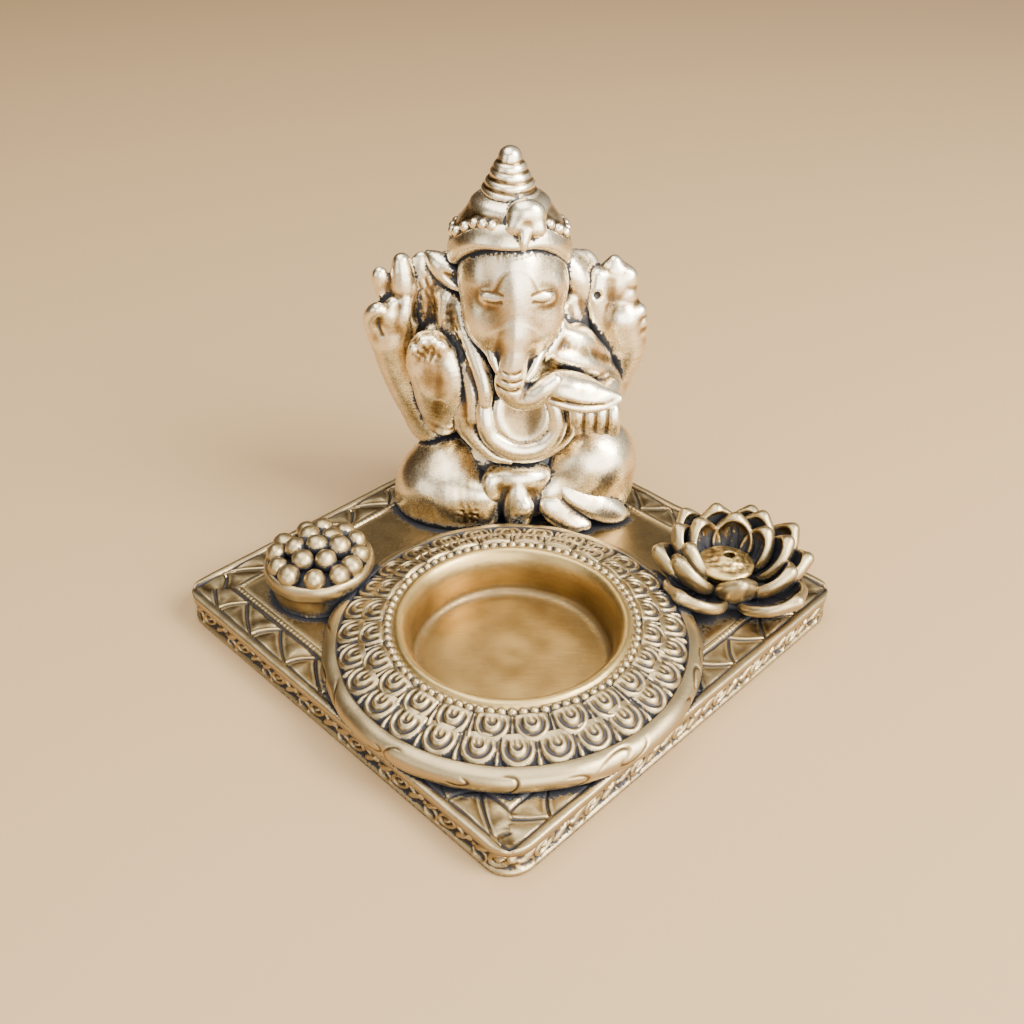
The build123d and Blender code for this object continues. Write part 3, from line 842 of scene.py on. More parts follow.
def make_cup():
    """The round cup: a soft lip, a straight wall and a flat floor with a rounded corner."""
    under = corners_mm("tealight_cup")[0][2] + 0.2
    section = smooth_curve(CUP_SECTION, 6)
    section = np.vstack([section, [(CUP_SEAT_RADIUS, 13.0), (CUP_SEAT_RADIUS, under), (0.02, under)]])
    rows = 480
    r = np.broadcast_to(section[:, 0], (rows, len(section)))
    z = section[:, 1]
    wall = smoothstep(5.8, 8.0, z) * smoothstep(1.0, 12.0, r)
    r = r + wall * 0.10 * ripple_round(r, angles(rows), z, 13.0, 3)
    z = z + 0.05 * ripple_round(r, angles(rows), 0 * r, 9.0, 4) * smoothstep(0.5, 5.0, r)
    piece = turned("tealight_cup", r, z, CUP_CENTRE)
    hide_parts("tealight_cup")
    return piece


# ---- Seated figure ----
BELLY_CENTRE = np.array((2.8, 33.0, 37.0))
BELLY_RADII = np.array((13.0, 14.2, 12.6))


def on_belly(x, z, lift):
    """A point on the belly's front at x and z, raised by lift."""
    across, _, up = (np.array((x, 0.0, z)) - BELLY_CENTRE) / BELLY_RADII
    share = max(1 - across**2 - up**2, 0.12)
    return (x, BELLY_CENTRE[1] - BELLY_RADII[1] * math.sqrt(share) - lift, z)


def belly_limb(knots, lift):
    """Limb knots from (x, z, radius) marks on the belly's front."""
    return [(*on_belly(x, z, lift), radius) for x, z, radius in knots]


def skin_member(clay, name):
    """The skin of a member, which takes the place of the node with its name."""
    piece = clay.skin(name)
    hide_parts(name)
    return piece


def finish_member(clay, name, seed, rough=0.025):
    """Gives a sculpted member its hand-finished unevenness and its skin."""
    return skin_member(clay.roughen(rough, 4, seed), name)


def make_torso():
    """Belly, chest, shoulders and hips, a soft roll round the belly, and cloth folds on the back."""
    clay = Clay((-22, 17, 6.9), (26, 53, 64), 0.35)
    clay.egg((1, 38.5, 17), (18, 12.5, 13))
    clay.egg((1, 39.5, 35), (16, 11, 20), k=3)
    clay.egg((1, 37, 50), (14, 10.5, 11), k=3)
    clay.limb([(-15, 39, 51, 5.5), (0, 39, 55, 7.5), (17, 39, 51, 5.5)], k=3)
    clay.egg(BELLY_CENTRE, BELLY_RADII, k=2.5)
    roll = [(-8.6, 40, 1.8), (-8.4, 35, 2.2), (-6.6, 30.6, 2.4), (-2, 27.8, 2.5), (4, 26.8, 2.5)]
    roll += [(9.4, 28.6, 2.4), (13.2, 32.4, 2.2), (14.2, 37, 1.8)]
    clay.limb(belly_limb(roll, -0.9), k=1.6)
    clay.egg((2.9, 14, 50), (10, 9.6, 20), k=1.2, cut=True)
    for x, lean in ((-9.5, 2.5), (-3, 1), (4, -1), (11, -2.5)):
        folds = []
        for z, share in ((46, 0), (35, 1), (25, 1.8)):
            across = x + lean * share
            back = 39.2 + 11 * math.sqrt(1 - ((across - 1) / 16) ** 2 - ((z - 35) / 20) ** 2)
            folds.append((across, back, z, 1.1))
        clay.limb(folds, k=2.4, steps=8)
    left_end, right_end = (-13, 44.6, 27, 1.6), (15, 44.6, 27, 1.6)
    clay.limb([left_end, (-6, 49, 24, 1.8), (1, 50.4, 23, 1.8), (8, 49, 24, 1.8), right_end], k=2.4)
    return finish_member(clay.floor(SEAT), "torso", 41)


def make_legs():
    """Two folded legs, the cloth between the knees and the foot with its pointed hem."""
    right = Clay((-30, 20, 6.9), (4, 50, 31), 0.33)
    right.egg((-15.8, 34, 14.4), (12.2, 11.6, 9.6), turn=(0, -12, 8))
    right.limb([(-4, 40, 20, 8), (-13, 37, 17.6, 8.8)], k=4)
    right.limb([(-20, 31.4, 12, 6), (-13, 28.6, 13, 6.6), (-6, 26.6, 14.5, 5)], k=4)
    hem = [(-26, 33, 8, 1.6), (-21.5, 28.2, 7.8, 2.2), (-14, 25, 7.8, 2.6), (-6, 24.6, 8.6, 2.4)]
    right.limb(hem, k=5)
    right.limb([(-7.2, 24.6, 15.8, 1.4), (-6.6, 24.2, 11, 1.5)], k=4)
    right.coarsen((-9.8, 22.8, 11.8), (4.4, 4, 4.4), 0.09, 0.8, 91)
    pieces = [finish_member(right.floor(SEAT), "right_leg", 42)]

    left = Clay((4, 20, 6.9), (33, 50, 32), 0.33)
    left.egg((19, 35.4, 19), (11.8, 11.2, 10.6), turn=(0, -8, -8))
    left.limb([(8, 40, 20, 8.5), (18, 36, 20, 9)], k=4)
    left.limb([(24, 32, 11.5, 5), (16, 29.4, 13, 5.2), (9.5, 27.6, 15, 4.8)], k=5)
    left.coarsen((7.6, 24.5, 21), (3.6, 4, 4), 0.08, 0.8, 92)
    pieces.append(finish_member(left.floor(SEAT), "left_leg", 43))

    fold = Clay((-8, 16, 6.9), (12, 32, 27), 0.28)
    fold.egg((2, 26.8, 20.4), (7.6, 4.8, 3.4))
    fold.egg((-4.6, 24.3, 17.6), (2.4, 2.6, 4.4), k=2.2)
    fold.egg((2.2, 27.5, 15), (8.6, 5.1, 8), k=2.5)
    fold.egg((2, 23.4, 13.4), (3.7, 3.5, 7.4), k=0.8)
    fold.egg((3.6, 20.7, 14.6), (2, 1.6, 2.2), k=1.4)
    pieces.append(finish_member(fold.floor(SEAT), "dhoti_fold", 44))

    foot = Clay((5, 18, 6.9), (31, 34, 22), 0.28)
    foot.egg((12.4, 23.9, 11.8), (6.4, 2.6, 4.2), turn=(-32, 33, 0))
    for x, y, reach in ((13.6, 21.8, 1.4), (16, 21.6, 1.5), (18.2, 22.2, 1.3)):
        foot.limb([(x - 2.6, y + 1.8, 10.6, reach), (x, y, 8.4, reach)], k=2)
    foot.egg((19.4, 25.2, 13.6), (9.6, 2.3, 4.2), turn=(-46, 32, 0), k=0.5)
    foot.limb([(21.5, 25.6, 12.6, 1.3), (25.4, 25.8, 10.2, 1.1), (28.6, 26.8, 8.4, 0.6)], k=2.5)
    pieces.append(finish_member(foot.floor(SEAT), "left_foot", 45))
    return pieces


def make_scarves():
    """The thick garland over the belly, and the long shawl that hangs from the right shoulder."""
    scarf = Clay((-12, 14, 24), (16, 32, 54), 0.28)
    line = [(-5.6, 47.5, 1.3), (-5.4, 43, 1.9), (-5.4, 38, 2.2), (-4, 34, 2.4), (-0.4, 31.4, 2.6)]
    line += [(3.4, 30.7, 2.6), (7.3, 31.9, 2.5), (10.2, 35.4, 2.3), (10.4, 39.8, 2.1), (8.8, 43.6, 1.6)]
    scarf.limb(belly_limb(line, 0.1), k=0.5)
    pieces = [finish_member(scarf, "scarf", 46)]

    shawl = Clay((-17, 17, 24), (4, 42, 64), 0.28)
    shawl.limb([(-12, 36, 60, 3.6), (-10.8, 33, 52, 4.8), (-9.8, 30.4, 42, 5.2), (-9, 29, 34, 4.2)], k=1)
    strap = [(-10.6, 32.4, 60.5, 1.6), (-9.4, 29.2, 56.2, 2), (-7, 25.4, 51, 2.1)]
    strap += [(-5.4, 22.6, 46.2, 1.9), (-5.4, 21.6, 42.4, 1.4)]
    shawl.limb(strap, k=2)
    shawl.limb([(-9.6, 26.6, 49, 1.4), (-8.4, 24.6, 43.5, 1.6), (-8, 23.6, 37.5, 1.4)], k=1.8)
    fall = [(-11.2, 29.2, 45, 2), (-10.6, 27.4, 39, 2.6), (-8.8, 25.6, 32.5, 2.4)]
    fall += [(-4.6, 24.2, 27.4, 1.5), (0, 23.8, 25.6, 0.7)]
    shawl.limb(fall, k=2.2)
    shawl.coarsen((-11.5, 27.5, 53), (4, 5, 6), 0.10, 0.9, 94)
    pieces.append(finish_member(shawl, "shawl", 47))
    return pieces


def make_eye(clay, x, z, way):
    """A half-closed, gently wrinkled eye; way is +1 for the left eye."""
    y = clay.front(x, z)
    clay.egg((x, y + 0.95, z + 0.1), (2, 1.1, 1), k=1.6, turn=(0, 5, 0))
    for lift, reach, bow, radius in ((1.2, 2.2, 0.35, 0.08), (-0.3, 1.9, -0.35, 0.12)):
        ends = [(x + side * reach * way, z + lift, radius) for side in (-1, 1)]
        clay.score([ends[0], (x, z + lift + bow, radius), ends[1]], 0.4)


def make_head():
    """Skull, brow, cheeks and eyes melting into the ringed trunk, which is a piece of its own."""
    clay = Clay((-12.5, 13.5, 40), (13.5, 46, 82), 0.25)
    clay.egg((0.3, 34.5, 67), (11, 11.2, 12))
    clay.egg((0.4, 30.4, 71.4), (10.3, 7.9, 8.2), k=4.5)
    clay.egg((1.2, 28, 67.2), (10.6, 5.6, 5.4), k=5)
    clay.egg((1, 26.2, 59.6), (6.8, 4.6, 8), k=5)
    clay.egg((0.4, 23.8, 56.4), (5, 3.6, 6.4), k=2.5)
    for x, lean in ((-4.8, -14), (6.2, 14)):
        clay.egg((x, 26.6, 60.6), (5.2, 5.9, 6.9), k=3, turn=(-12, lean, 0))
        clay.egg((1.2 + (x - 0.7) * 0.66, 23.6, 54.6), (2, 2.4, 4.6), k=2.5, turn=(-10, lean, 0))
    bridge = [(1.4, 27.4, 77, 2.4), (1.7, 24.6, 71, 2.6), (1.7, 22.6, 65, 2.5), (1.6, 21.6, 60, 2.4)]
    clay.limb(bridge, k=5, steps=12)
    nose = [(1.7, 24.6, 67, 1.8), (1.6, 21.5, 61.6, 2.5), (1.2, 20, 56, 2.8)]
    nose += [(0.5, 19.8, 51.2, 3.4), (0.4, 19.8, 47.8, 3.6), (2.2, 19.4, 45.4, 3.3)]
    nose += [(5, 18.8, 45.8, 2.9), (7.6, 18.6, 47.8, 2.5), (9.6, 19, 49.4, 2)]
    clay.limb(nose, k=1.5, steps=12)
    make_eye(clay, -3.7, 67.4, -1)
    make_eye(clay, 6.9, 67.4, 1)
    for z, depth, side in ((52.3, 0.03, 2.2), (50.4, 0.05, 2.6), (48.4, 0.04, 1.8)):
        start = [(-2.9, z + 0.6, depth), (-0.6, z, depth)]
        clay.score(start + [(1.2, z - 0.1, depth), (side, z + 0.3, 0.03)], 0.8)
    clay.egg((4.2, clay.front(4.2, 50.2), 50.2), (1, 1.6, 1), k=0.5, cut=True)
    clay.roughen(0.02, 3.5, 48)
    clay.coarsen((0.5, 22.5, 77.2), (9, 4, 2.2), 0.08, 0.8, 95)
    seam = (1.2, 20.5, 59.5)
    head = skin_member(clay.copy().tuck(seam, (0, -0.9, -0.45)), "head")
    trunk = skin_member(clay.tuck(seam, (0, 0.9, 0.45)), "trunk")

    right = Clay((-7, 17, 48), (0, 27, 60), 0.25)
    right.limb([(-4.6, 23, 56.6, 1), (-3.6, 20.8, 54.2, 1.2), (-2.6, 19.4, 51.8, 0.8)], k=0.5)
    left = Clay((0, 16, 48), (14, 31, 60), 0.25)
    tusk = [(8.2, 25.4, 56.6, 1.1), (6.4, 22.4, 54.2, 1.3), (4.8, 19.8, 51.6, 1.2), (3.6, 18.4, 50.2, 0.8)]
    left.limb(tusk, k=0.5)
    tusks = [finish_member(right, "right_tusk", 49, 0.02), finish_member(left, "left_tusk", 50, 0.02)]
    return [head, trunk, *tusks]


def make_ears():
    """A leaf-shaped right ear with its rough lower lobe, and a pleated left ear."""
    right = Clay((-22, 28, 48), (-7, 44, 75), 0.28)
    right.egg((-13.8, 38.4, 60), (4.4, 2.8, 11))
    right.egg((-19.4, 39, 60), (4.4, 2.6, 10.5), k=2)
    root = (-10.2, 33.2, 65.6, 2)
    right.limb([(-17.8, 36.6, 71, 0.9), (-15.4, 35.4, 69.4, 2.5), (-12.6, 34.2, 67.4, 3), root], k=1)
    right.egg((-12.6, 31, 67.6), (2.6, 1.2, 0.8), k=1.6, turn=(0, 30, 0), cut=True)
    right.egg((-14, 33.8, 64), (4.5, 1.8, 0.8), k=1, turn=(0, 18, 0), cut=True)
    right.limb([(-13.6, 35.8, 61, 2.6), (-13.6, 35.2, 56.5, 3), (-13.6, 34.6, 51.5, 2.6)], k=2)
    right.coarsen((-18.4, 38, 60), (3.6, 4.5, 9), 0.06, 0.9, 96)
    right.coarsen((-12.8, 34.4, 57), (3.2, 4.5, 8), 0.05, 0.8, 97)
    pieces = [finish_member(right, "right_ear", 51)]

    left = Clay((9, 28, 46), (22, 44, 74), 0.28)
    left.egg((14.4, 38, 60), (4.8, 3, 11.5))
    left.egg((16.4, 39, 62), (4.6, 2.8, 9), k=1.5)
    left.limb([(12.4, 35.8, 68.6, 2.4), (15, 35.6, 64.6, 2.8), (16.6, 36.4, 58, 2.4)], k=3, steps=10)
    foot = (17, 34.6, 50.4, 1.4)
    for top, middle in (
        ((15.6, 35.6, 61.2, 1.4), (16.8, 34.8, 56.4, 1.5)),
        ((13.6, 33.8, 61.4, 1.5), (14.9, 33.4, 56.6, 1.7)),
        ((11.4, 32.2, 60, 1.4), (13, 31.9, 55.4, 1.7)),
    ):
        left.limb([top, middle, foot], k=1.6, steps=10)
    pieces.append(finish_member(left, "left_ear", 52))
    return pieces


def make_crown():
    """A domed crown: arched brow band, row of pearls, lobed jewel and a ringed spire."""
    centre = np.array((0.0, 34.0, 73.0))

    def arch(y):
        return 70.6 + 6.8 * smoothstep(32.5, 23, y)

    def band_shape(x, y, z):
        radii = (13.5, 13.1, 13.8)
        reach = np.sqrt(sum(((p - c) / r) ** 2 for p, c, r in zip((x, y, z), centre, radii)))
        above = z - arch(y)
        shell = (reach - 1) * 13.2 + 0.03 * (above - 2.6) ** 2
        return melt_cut(melt_cut(shell, -above, 1.4), above - 5.8, 0.8)

    band = Clay((-14.5, 20, 69.5), (14.5, 48.5, 84.5), 0.28)
    band.lay(band_shape, (-14.5, 20, 69.5), (14.5, 48.5, 84.5), 0)
    pieces = [finish_member(band, "crown_band", 53)]

    dome = Clay((-14, 19.5, 70), (14, 48, 90), 0.28)
    dome.egg(centre, (12.9, 12.5, 13.2))
    dome.egg((0.1, 34, 83.6), (8, 7.8, 2.6), k=2.5)
    x, y, z = dome.whole()
    dome.d = np.maximum(dome.d, (arch(y) + 0.8 - z + 0 * x).astype(np.float32))
    for angle in np.radians(np.arange(-172, 180, 12.5)):
        heading = np.array((math.sin(angle), -math.cos(angle)))
        if heading[1] < -0.86 and abs(heading[0] - 0.2) < 0.42:
            continue
        reach, height = 12.4, 78
        for _ in range(6):
            height = arch(34 + heading[1] * reach) + 7.2
            reach = 12.9 * math.sqrt(max(1 - ((height - 73) / 13.4) ** 2, 0.05))
        dome.egg((heading[0] * reach, 34 + heading[1] * reach, height), 1.15, k=0.5)
    pieces.append(finish_member(dome, "crown_dome", 54))

    spire = Clay((-8, 26, 82), (8, 42, 96.5), 0.25)
    tiers = ((83.9, 7, 2), (86.1, 6.15, 1.7), (88, 5.2, 1.6), (89.8, 4.25, 1.5), (91.4, 3.4, 1.4))
    spire.limb([(0.1, 34, 82.5, 6.3), (0.1, 34, 92.4, 2.2)], steps=1)
    for k, (height, reach, rise) in enumerate(tiers):
        lean = 6 if k % 2 else 3
        spire.egg((0.1, 34, height), (reach, reach, rise), k=1.1, turn=(2, lean, 0))
    spire.egg((0.1, 34, 92.9), (2.5, 2.5, 2.4), k=0.6)
    pieces.append(finish_member(spire, "crown_spire", 55))

    jewel = Clay((-6, 16, 76), (11, 32, 90), 0.25)
    jewel.egg((3.4, 25.6, 83.9), (4.1, 2.9, 3.3))
    for x, z in ((1.3, 81.8), (5.3, 81.5)):
        jewel.egg((x, 24.2, z), (2.2, 1.8, 1.9), k=1.4)
    jewel.limb([(3.2, 23.2, 81.2, 1.3), (2.9, 22.2, 79.6, 1.1), (2.8, 21.7, 78.4, 0.7)], k=1)
    pieces.append(finish_member(jewel, "crown_jewel", 56, 0.03))
    return pieces


def split_member(clay, names, seams, seed):
    """Cuts one sculpted arm into named pieces at (point, normal) seams, each tucked under the next."""
    clay.roughen(0.025, 4, seed)
    pieces = []
    for k, name in enumerate(names):
        share = clay.copy()
        if k > 0:
            point, normal = seams[k - 1]
            share.tuck(point, [-c for c in normal])
        if k < len(seams):
            share.tuck(*seams[k])
        pieces.append(skin_member(share, name))
    return pieces


def make_upper_right_arm():
    """The raised right arm, its curled fingers and the knobbed emblem they hold."""
    clay = Clay((-35, 28, 20), (-7, 46, 74), 0.3)
    clay.limb([(-12, 40, 46, 5), (-16.5, 39.5, 36, 5.2), (-19.4, 38.6, 28.5, 5)], k=2)
    forearm = [(-18.6, 38.6, 27.4, 5.2), (-22.6, 38.2, 35, 5), (-25.6, 37.8, 43, 4.8), (-27, 37.4, 50, 5)]
    clay.limb(forearm, k=2.5)
    clay.egg((-26.4, 37.4, 54.6), (6, 4.4, 5.6), k=2.5)
    thumb = [(-30.6, 36, 51.8, 1.6), (-31.2, 35, 56.4, 1.8), (-29.4, 34, 59, 1.7), (-27.6, 34.2, 57.6, 1.2)]
    clay.limb(thumb, k=1.4)
    for x, top in ((-26.2, 60), (-23.4, 60.2)):
        clay.limb([(x - 0.4, 35.6, 53.6, 1.2), (x, 34.6, 57, 1.6), (x + 0.3, 35.2, top, 1.5)], k=1.6)
    clay.score([(-29.4, 55.8, 0.12), (-29.2, 54.6, 0.22), (-28.6, 53.4, 0.12)], 0.8)
    clay.limb([(-23.6, 38, 59, 3.4), (-23.5, 38, 63.2, 3.4), (-23.6, 38, 66.4, 2.8)], k=1)
    clay.egg((-23.8, 38, 68.7), (2, 2, 1.9), k=1)
    clay.egg((-28.7, 37.8, 64.8), (2, 1.6, 2.7), k=0.7)
    clay.limb([(-28.4, 38, 61.6, 1.7), (-26.4, 38, 63.6, 1.5)], k=1)
    wrist = ((-26.6, 37.5, 50.5), (-0.1, 0, 1))
    grip = ((-24.5, 37.5, 60.6), (0.05, 0.1, 1))
    names = ("upper_right_arm", "upper_right_hand", "right_emblem")
    return split_member(clay, names, (wrist, grip), 61)


def make_upper_left_arm():
    """The raised left arm: broad open hand, curled fingers at the side, and a lobed emblem."""
    clay = Clay((8, 28, 28), (34, 46, 74), 0.3)
    clay.limb([(12, 40, 50, 5), (17, 39.6, 42, 5), (22.2, 38.4, 36.5, 4.7)], k=2)
    forearm = [(22.4, 38.4, 37.6, 4.6), (25.2, 37.8, 44, 4.7), (25.8, 37.4, 50, 5.5), (25, 37.4, 55.6, 5.6)]
    clay.limb(forearm, k=2.5)
    thumb = [(19.4, 36.2, 65.8, 2.4), (19, 35.6, 61.4, 3), (19.8, 35.6, 56, 3.2), (22.2, 36.2, 49.4, 3.4)]
    clay.limb(thumb, k=1.6)
    clay.egg((23.6, 38.2, 62.6), (4.8, 3.8, 6.2), k=2)
    clay.limb([(22.4, 38, 66.6, 2.4), (23, 38, 68.6, 1.6)], k=1.2)
    clay.egg((26.2, 37.4, 65.2), (2.2, 2, 2.4), k=0.9)
    clay.egg((25.8, 36.6, 61.4), (2.4, 2, 2.2), k=0.9)
    for x, y, z in ((29.4, 36.6, 58), (29.9, 36.4, 55.6), (29.7, 36.4, 53)):
        finger = [(x - 2.8, y + 0.2, z - 1, 1.5), (x - 0.4, y - 0.8, z, 1.6), (x - 2, y - 2, z - 0.9, 1.1)]
        clay.limb(finger, k=0.8)
    clay.egg((19.2, clay.front(19.2, 62.9), 62.9), (0.9, 1, 0.9), k=0.5, cut=True)
    wrist = ((25.6, 37.5, 49), (0.1, 0, 1))
    grip = ((23.5, 37.5, 60.4), (0.1, 0.1, 1))
    names = ("upper_left_arm", "upper_left_hand", "left_emblem")
    return split_member(clay, names, (wrist, grip), 62)


def make_lower_right_arm():
    """The blessing hand, palm to the front, with a broad thumb side and a rough fingertip patch."""
    clay = Clay((-25, 23, 20), (-8, 41, 59), 0.27)
    clay.limb([(-13.4, 35.8, 42, 4.2), (-14.6, 35.4, 34, 4.6), (-15.8, 34, 31.8, 4.2)], k=2)
    knuckles = (-17.6, 29.4, 47, 4.8)
    clay.limb([(-15.8, 33.6, 32, 3.9), (-16.6, 31.4, 36.5, 4.6), (-17.2, 30, 42, 4.9), knuckles], k=2.5)
    clay.egg((-17.6, 29, 49.6), (5.4, 3.2, 7), k=2.5)
    thumb = [(-13.4, 27.8, 51, 1.9), (-12.6, 26.9, 47, 2.6), (-12.8, 26.9, 41, 2.9), (-14.2, 28.8, 35, 2.8)]
    clay.limb(thumb, k=2.2)
    for x, z in ((-21, 53), (-19, 54.8), (-16.8, 55), (-14.8, 53.6)):
        clay.limb([(x, 27.8, z - 3, 1.1), (x, 27, z, 1.3)], k=1.2)
    clay.egg((-18.6, clay.front(-18.6, 47.6) - 0.9, 47.6), (2.4, 1.5, 4), k=2.4, cut=True)
    clay.coarsen((-17.8, 26, 52.8), (4.2, 3.5, 3.2), 0.07, 0.9, 99)
    wrist = ((-17.2, 29.5, 41), (0, 0.1, 1))
    return split_member(clay, ("lower_right_arm", "lower_right_hand"), (wrist,), 63)


def make_lower_left_arm():
    """The draped left forearm, the hand with four curled fingers, and the sweet it holds."""
    clay = Clay((8, 14, 34), (27, 41, 61), 0.27)
    arm = [(15.5, 36, 50, 4.4), (20.2, 33.6, 43.6, 4.4), (21.6, 28, 42, 3.7), (19.4, 23.6, 42, 3.3)]
    clay.limb(arm, k=2)
    clay.egg((13.6, 31, 53), (5, 4, 4.4), k=1.5)
    fold = [(9.6, 28.6, 57.2, 1.8), (13.4, 28.2, 54.6, 2.6), (17, 30.4, 51.6, 2.8), (20.4, 33, 48.6, 2.4)]
    clay.limb(fold, k=2.5)
    fold = [(8, 25.4, 53.6, 1.6), (12.2, 25.6, 51.6, 2.2), (16.8, 27.4, 49, 2.4), (20.8, 30.6, 45.6, 2.2)]
    clay.limb(fold, k=2)
    clay.limb([(6.8, 23, 52.6, 1.2), (9.2, 25.4, 55.4, 1.6), (10.8, 28.4, 58.6, 1.4)], k=1.8)
    clay.egg((18.8, 21.2, 40.6), (5.8, 3.7, 4), k=1.2)
    for x, z in ((14.8, 0.2), (17.4, 0), (20, -0.2), (22.6, -0.5)):
        knuckles = [(x, 20.6, 43.6 + z, 1.5), (x, 18.8, 42.4 + z, 1.7), (x + 0.1, 18.3, 39.8 + z, 1.7)]
        clay.limb(knuckles + [(x + 0.3, 20, 37 + z, 1.6)], k=0.5)
    wrist = ((20.4, 26, 42), (-0.25, -1, 0))
    pieces = split_member(clay, ("lower_left_arm", "lower_left_hand"), (wrist,), 64)

    sweet = Clay((4, 13, 39), (27, 26, 54), 0.27)
    sweet.egg((14.2, 20.6, 46), (8.6, 4.4, 2.3), turn=(0, 13, 0))
    sweet.egg((12.6, 20.8, 47.8), (5.6, 3.6, 2.7), k=2.2, turn=(0, 10, 0))
    sweet.limb([(17, 20.4, 46.2, 2.4), (21.2, 20.6, 45.2, 1.5), (24, 20.6, 44.4, 0.8)], k=2, steps=10)
    edge = [(6.6, 18.6, 46, 0.7), (10.4, 17.2, 44.8, 0.9), (15.4, 16.8, 43.8, 1)]
    sweet.limb(edge + [(20.2, 18, 43.4, 0.9), (24, 20.2, 43.8, 0.7)], k=0.8, steps=10)
    sweet.score([(12, 45.9, 0.1), (16, 45, 0.14), (20.5, 44.5, 0.1)], 0.4)
    pieces.append(finish_member(sweet, "sweet", 65))
    return pieces


# ---- Bowl of laddus and lotus incense holder ----
# The bowl's section as (radius, height), from its middle over the rim to its underside.
BOWL_SECTION = (
    (0.6, 16.2), (5, 15.8), (9.6, 14.9), (10.4, 15.3), (11, 15.8), (11.7, 15.6), (12.1, 14.7),
    (12.1, 13.5), (11.8, 12.6), (11.2, 12.1), (10.9, 11.6), (10.8, 9.8), (10.75, 8.2), (10.75, 7.2),
    (8, 7), (0.6, 7),
)
# The heap's rings as (number of sweets, ring radius, height).
LADDU_RINGS = ((1, 0, 19), (6, 4.75, 18.1), (12, 9.1, 16.5))


def make_bowl():
    """A thick-rimmed bowl heaped with round sweets."""
    section = smooth_curve(BOWL_SECTION, 5)
    rows = 240
    r = np.broadcast_to(section[:, 0], (rows, len(section)))
    z = section[:, 1]
    r = r + smoothstep(8, 10, r) * 0.13 * ripple_round(r, angles(rows), z, 6, 71)
    z = z + 0.06 * ripple_round(r, angles(rows), z, 5, 72)
    bowl = turned("laddu_bowl", r[:, ::-1], z[:, ::-1], BOWL_CENTRE)
    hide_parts("laddu_bowl")

    heap = Clay(BOWL_CENTRE + (-12, -12, -4), BOWL_CENTRE + (12, 12, 12), 0.22)
    rng = np.random.default_rng(10)
    for count, ring, height in LADDU_RINGS:
        for k in range(count):
            angle = FULL_TURN * (k + 0.15 * rng.normal()) / count
            x = BOWL_CENTRE[0] + ring * math.cos(angle)
            y = BOWL_CENTRE[1] + ring * math.sin(angle)
            radii = rng.uniform(2.3, 2.65) * rng.uniform(0.94, 1.06, 3)
            heap.egg((x, y, height + rng.normal() * 0.15), radii, k=0)
    return [bowl, skin_member(heap.roughen(0.06, 1.8, 73), "laddus")]


# Petals as (azimuth, lean above level, length, width), in degrees and millimetres.
OUTER_PETALS = (
    (184, 42, 14.5, 11), (226, 26, 14.5, 15), (311, 24, 15, 16), (350, 38, 14.5, 11.5),
    (22, 44, 15, 11), (62, 50, 14, 10.5), (128, 52, 14, 10.5),
)
MIDDLE_PETALS = (
    (158, 58, 13, 10.5), (205, 48, 12.5, 11.5), (276, 52, 8.5, 9.5), (327, 42, 12.5, 12),
    (2, 54, 13, 10), (45, 60, 13.5, 10.5), (100, 66, 13.5, 11.5),
)
INNER_PETALS = ((135, 70, 11.5, 10), (74, 72, 11.5, 10), (25, 66, 11, 8.5), (188, 64, 10.5, 8.5))
# Each row as (name, petals, root radius, root height, seed).
PETAL_ROWS = (
    ("lotus_outer_petals", OUTER_PETALS, 5.8, 8.2, 81),
    ("lotus_middle_petals", MIDDLE_PETALS, 5.4, 8.8, 82),
    ("lotus_inner_petals", INNER_PETALS, 5, 9.4, 83),
)
LEAF_HOLLOW = -2
LEAF_INSIDE = 0.9


def lotus_clay(reach, below, above, step):
    """An empty block of clay round the lotus."""
    return Clay(LOTUS_CENTRE - (reach, reach, below), LOTUS_CENTRE + (reach, reach, above), step)


def lotus_petal(azimuth, lean, length, width, root_radius, root_height):
    """One cupped petal with a thick edge and fine grooves down its inside."""
    a, e = math.radians(azimuth), math.radians(lean)
    outward = np.array((math.cos(a), math.sin(a), 0))
    rising = outward * math.cos(e) + np.array((0, 0, math.sin(e)))
    across = np.array((-math.sin(a), math.cos(a), 0))
    normal = np.cross(across, rising)
    axes = np.stack([across, normal, rising], axis=1)
    root = np.array((LOTUS_CENTRE[0], LOTUS_CENTRE[1], root_height)) + outward * root_radius
    middle = root + rising * (length * 0.48)
    tip = root + rising * length
    leaf = lotus_clay(20, 7, 14, 0.28)
    leaf.egg(middle, (width / 2, 2.9, length / 2), turn=axes)
    leaf.limb([(*(tip - rising * 4.5), 2), (*(tip - rising * 0.4), 0.9)], k=2.4)
    hollow = middle + normal * LEAF_HOLLOW
    leaf.egg(hollow, (width / 2 - 1, 3, length / 2 - 0.8), turn=axes, k=0.7, cut=True)
    inside = root + normal * LEAF_INSIDE
    for share in (-0.3, -0.1, 0.1, 0.3):
        low = inside + rising * (length * 0.3) + across * (share * width)
        high = inside + rising * (length * 0.85) + across * (share * width * 0.6)
        leaf.limb([(*low, 0.3), (*high, 0.2)], k=0.3, steps=1, cut=True)
    return leaf


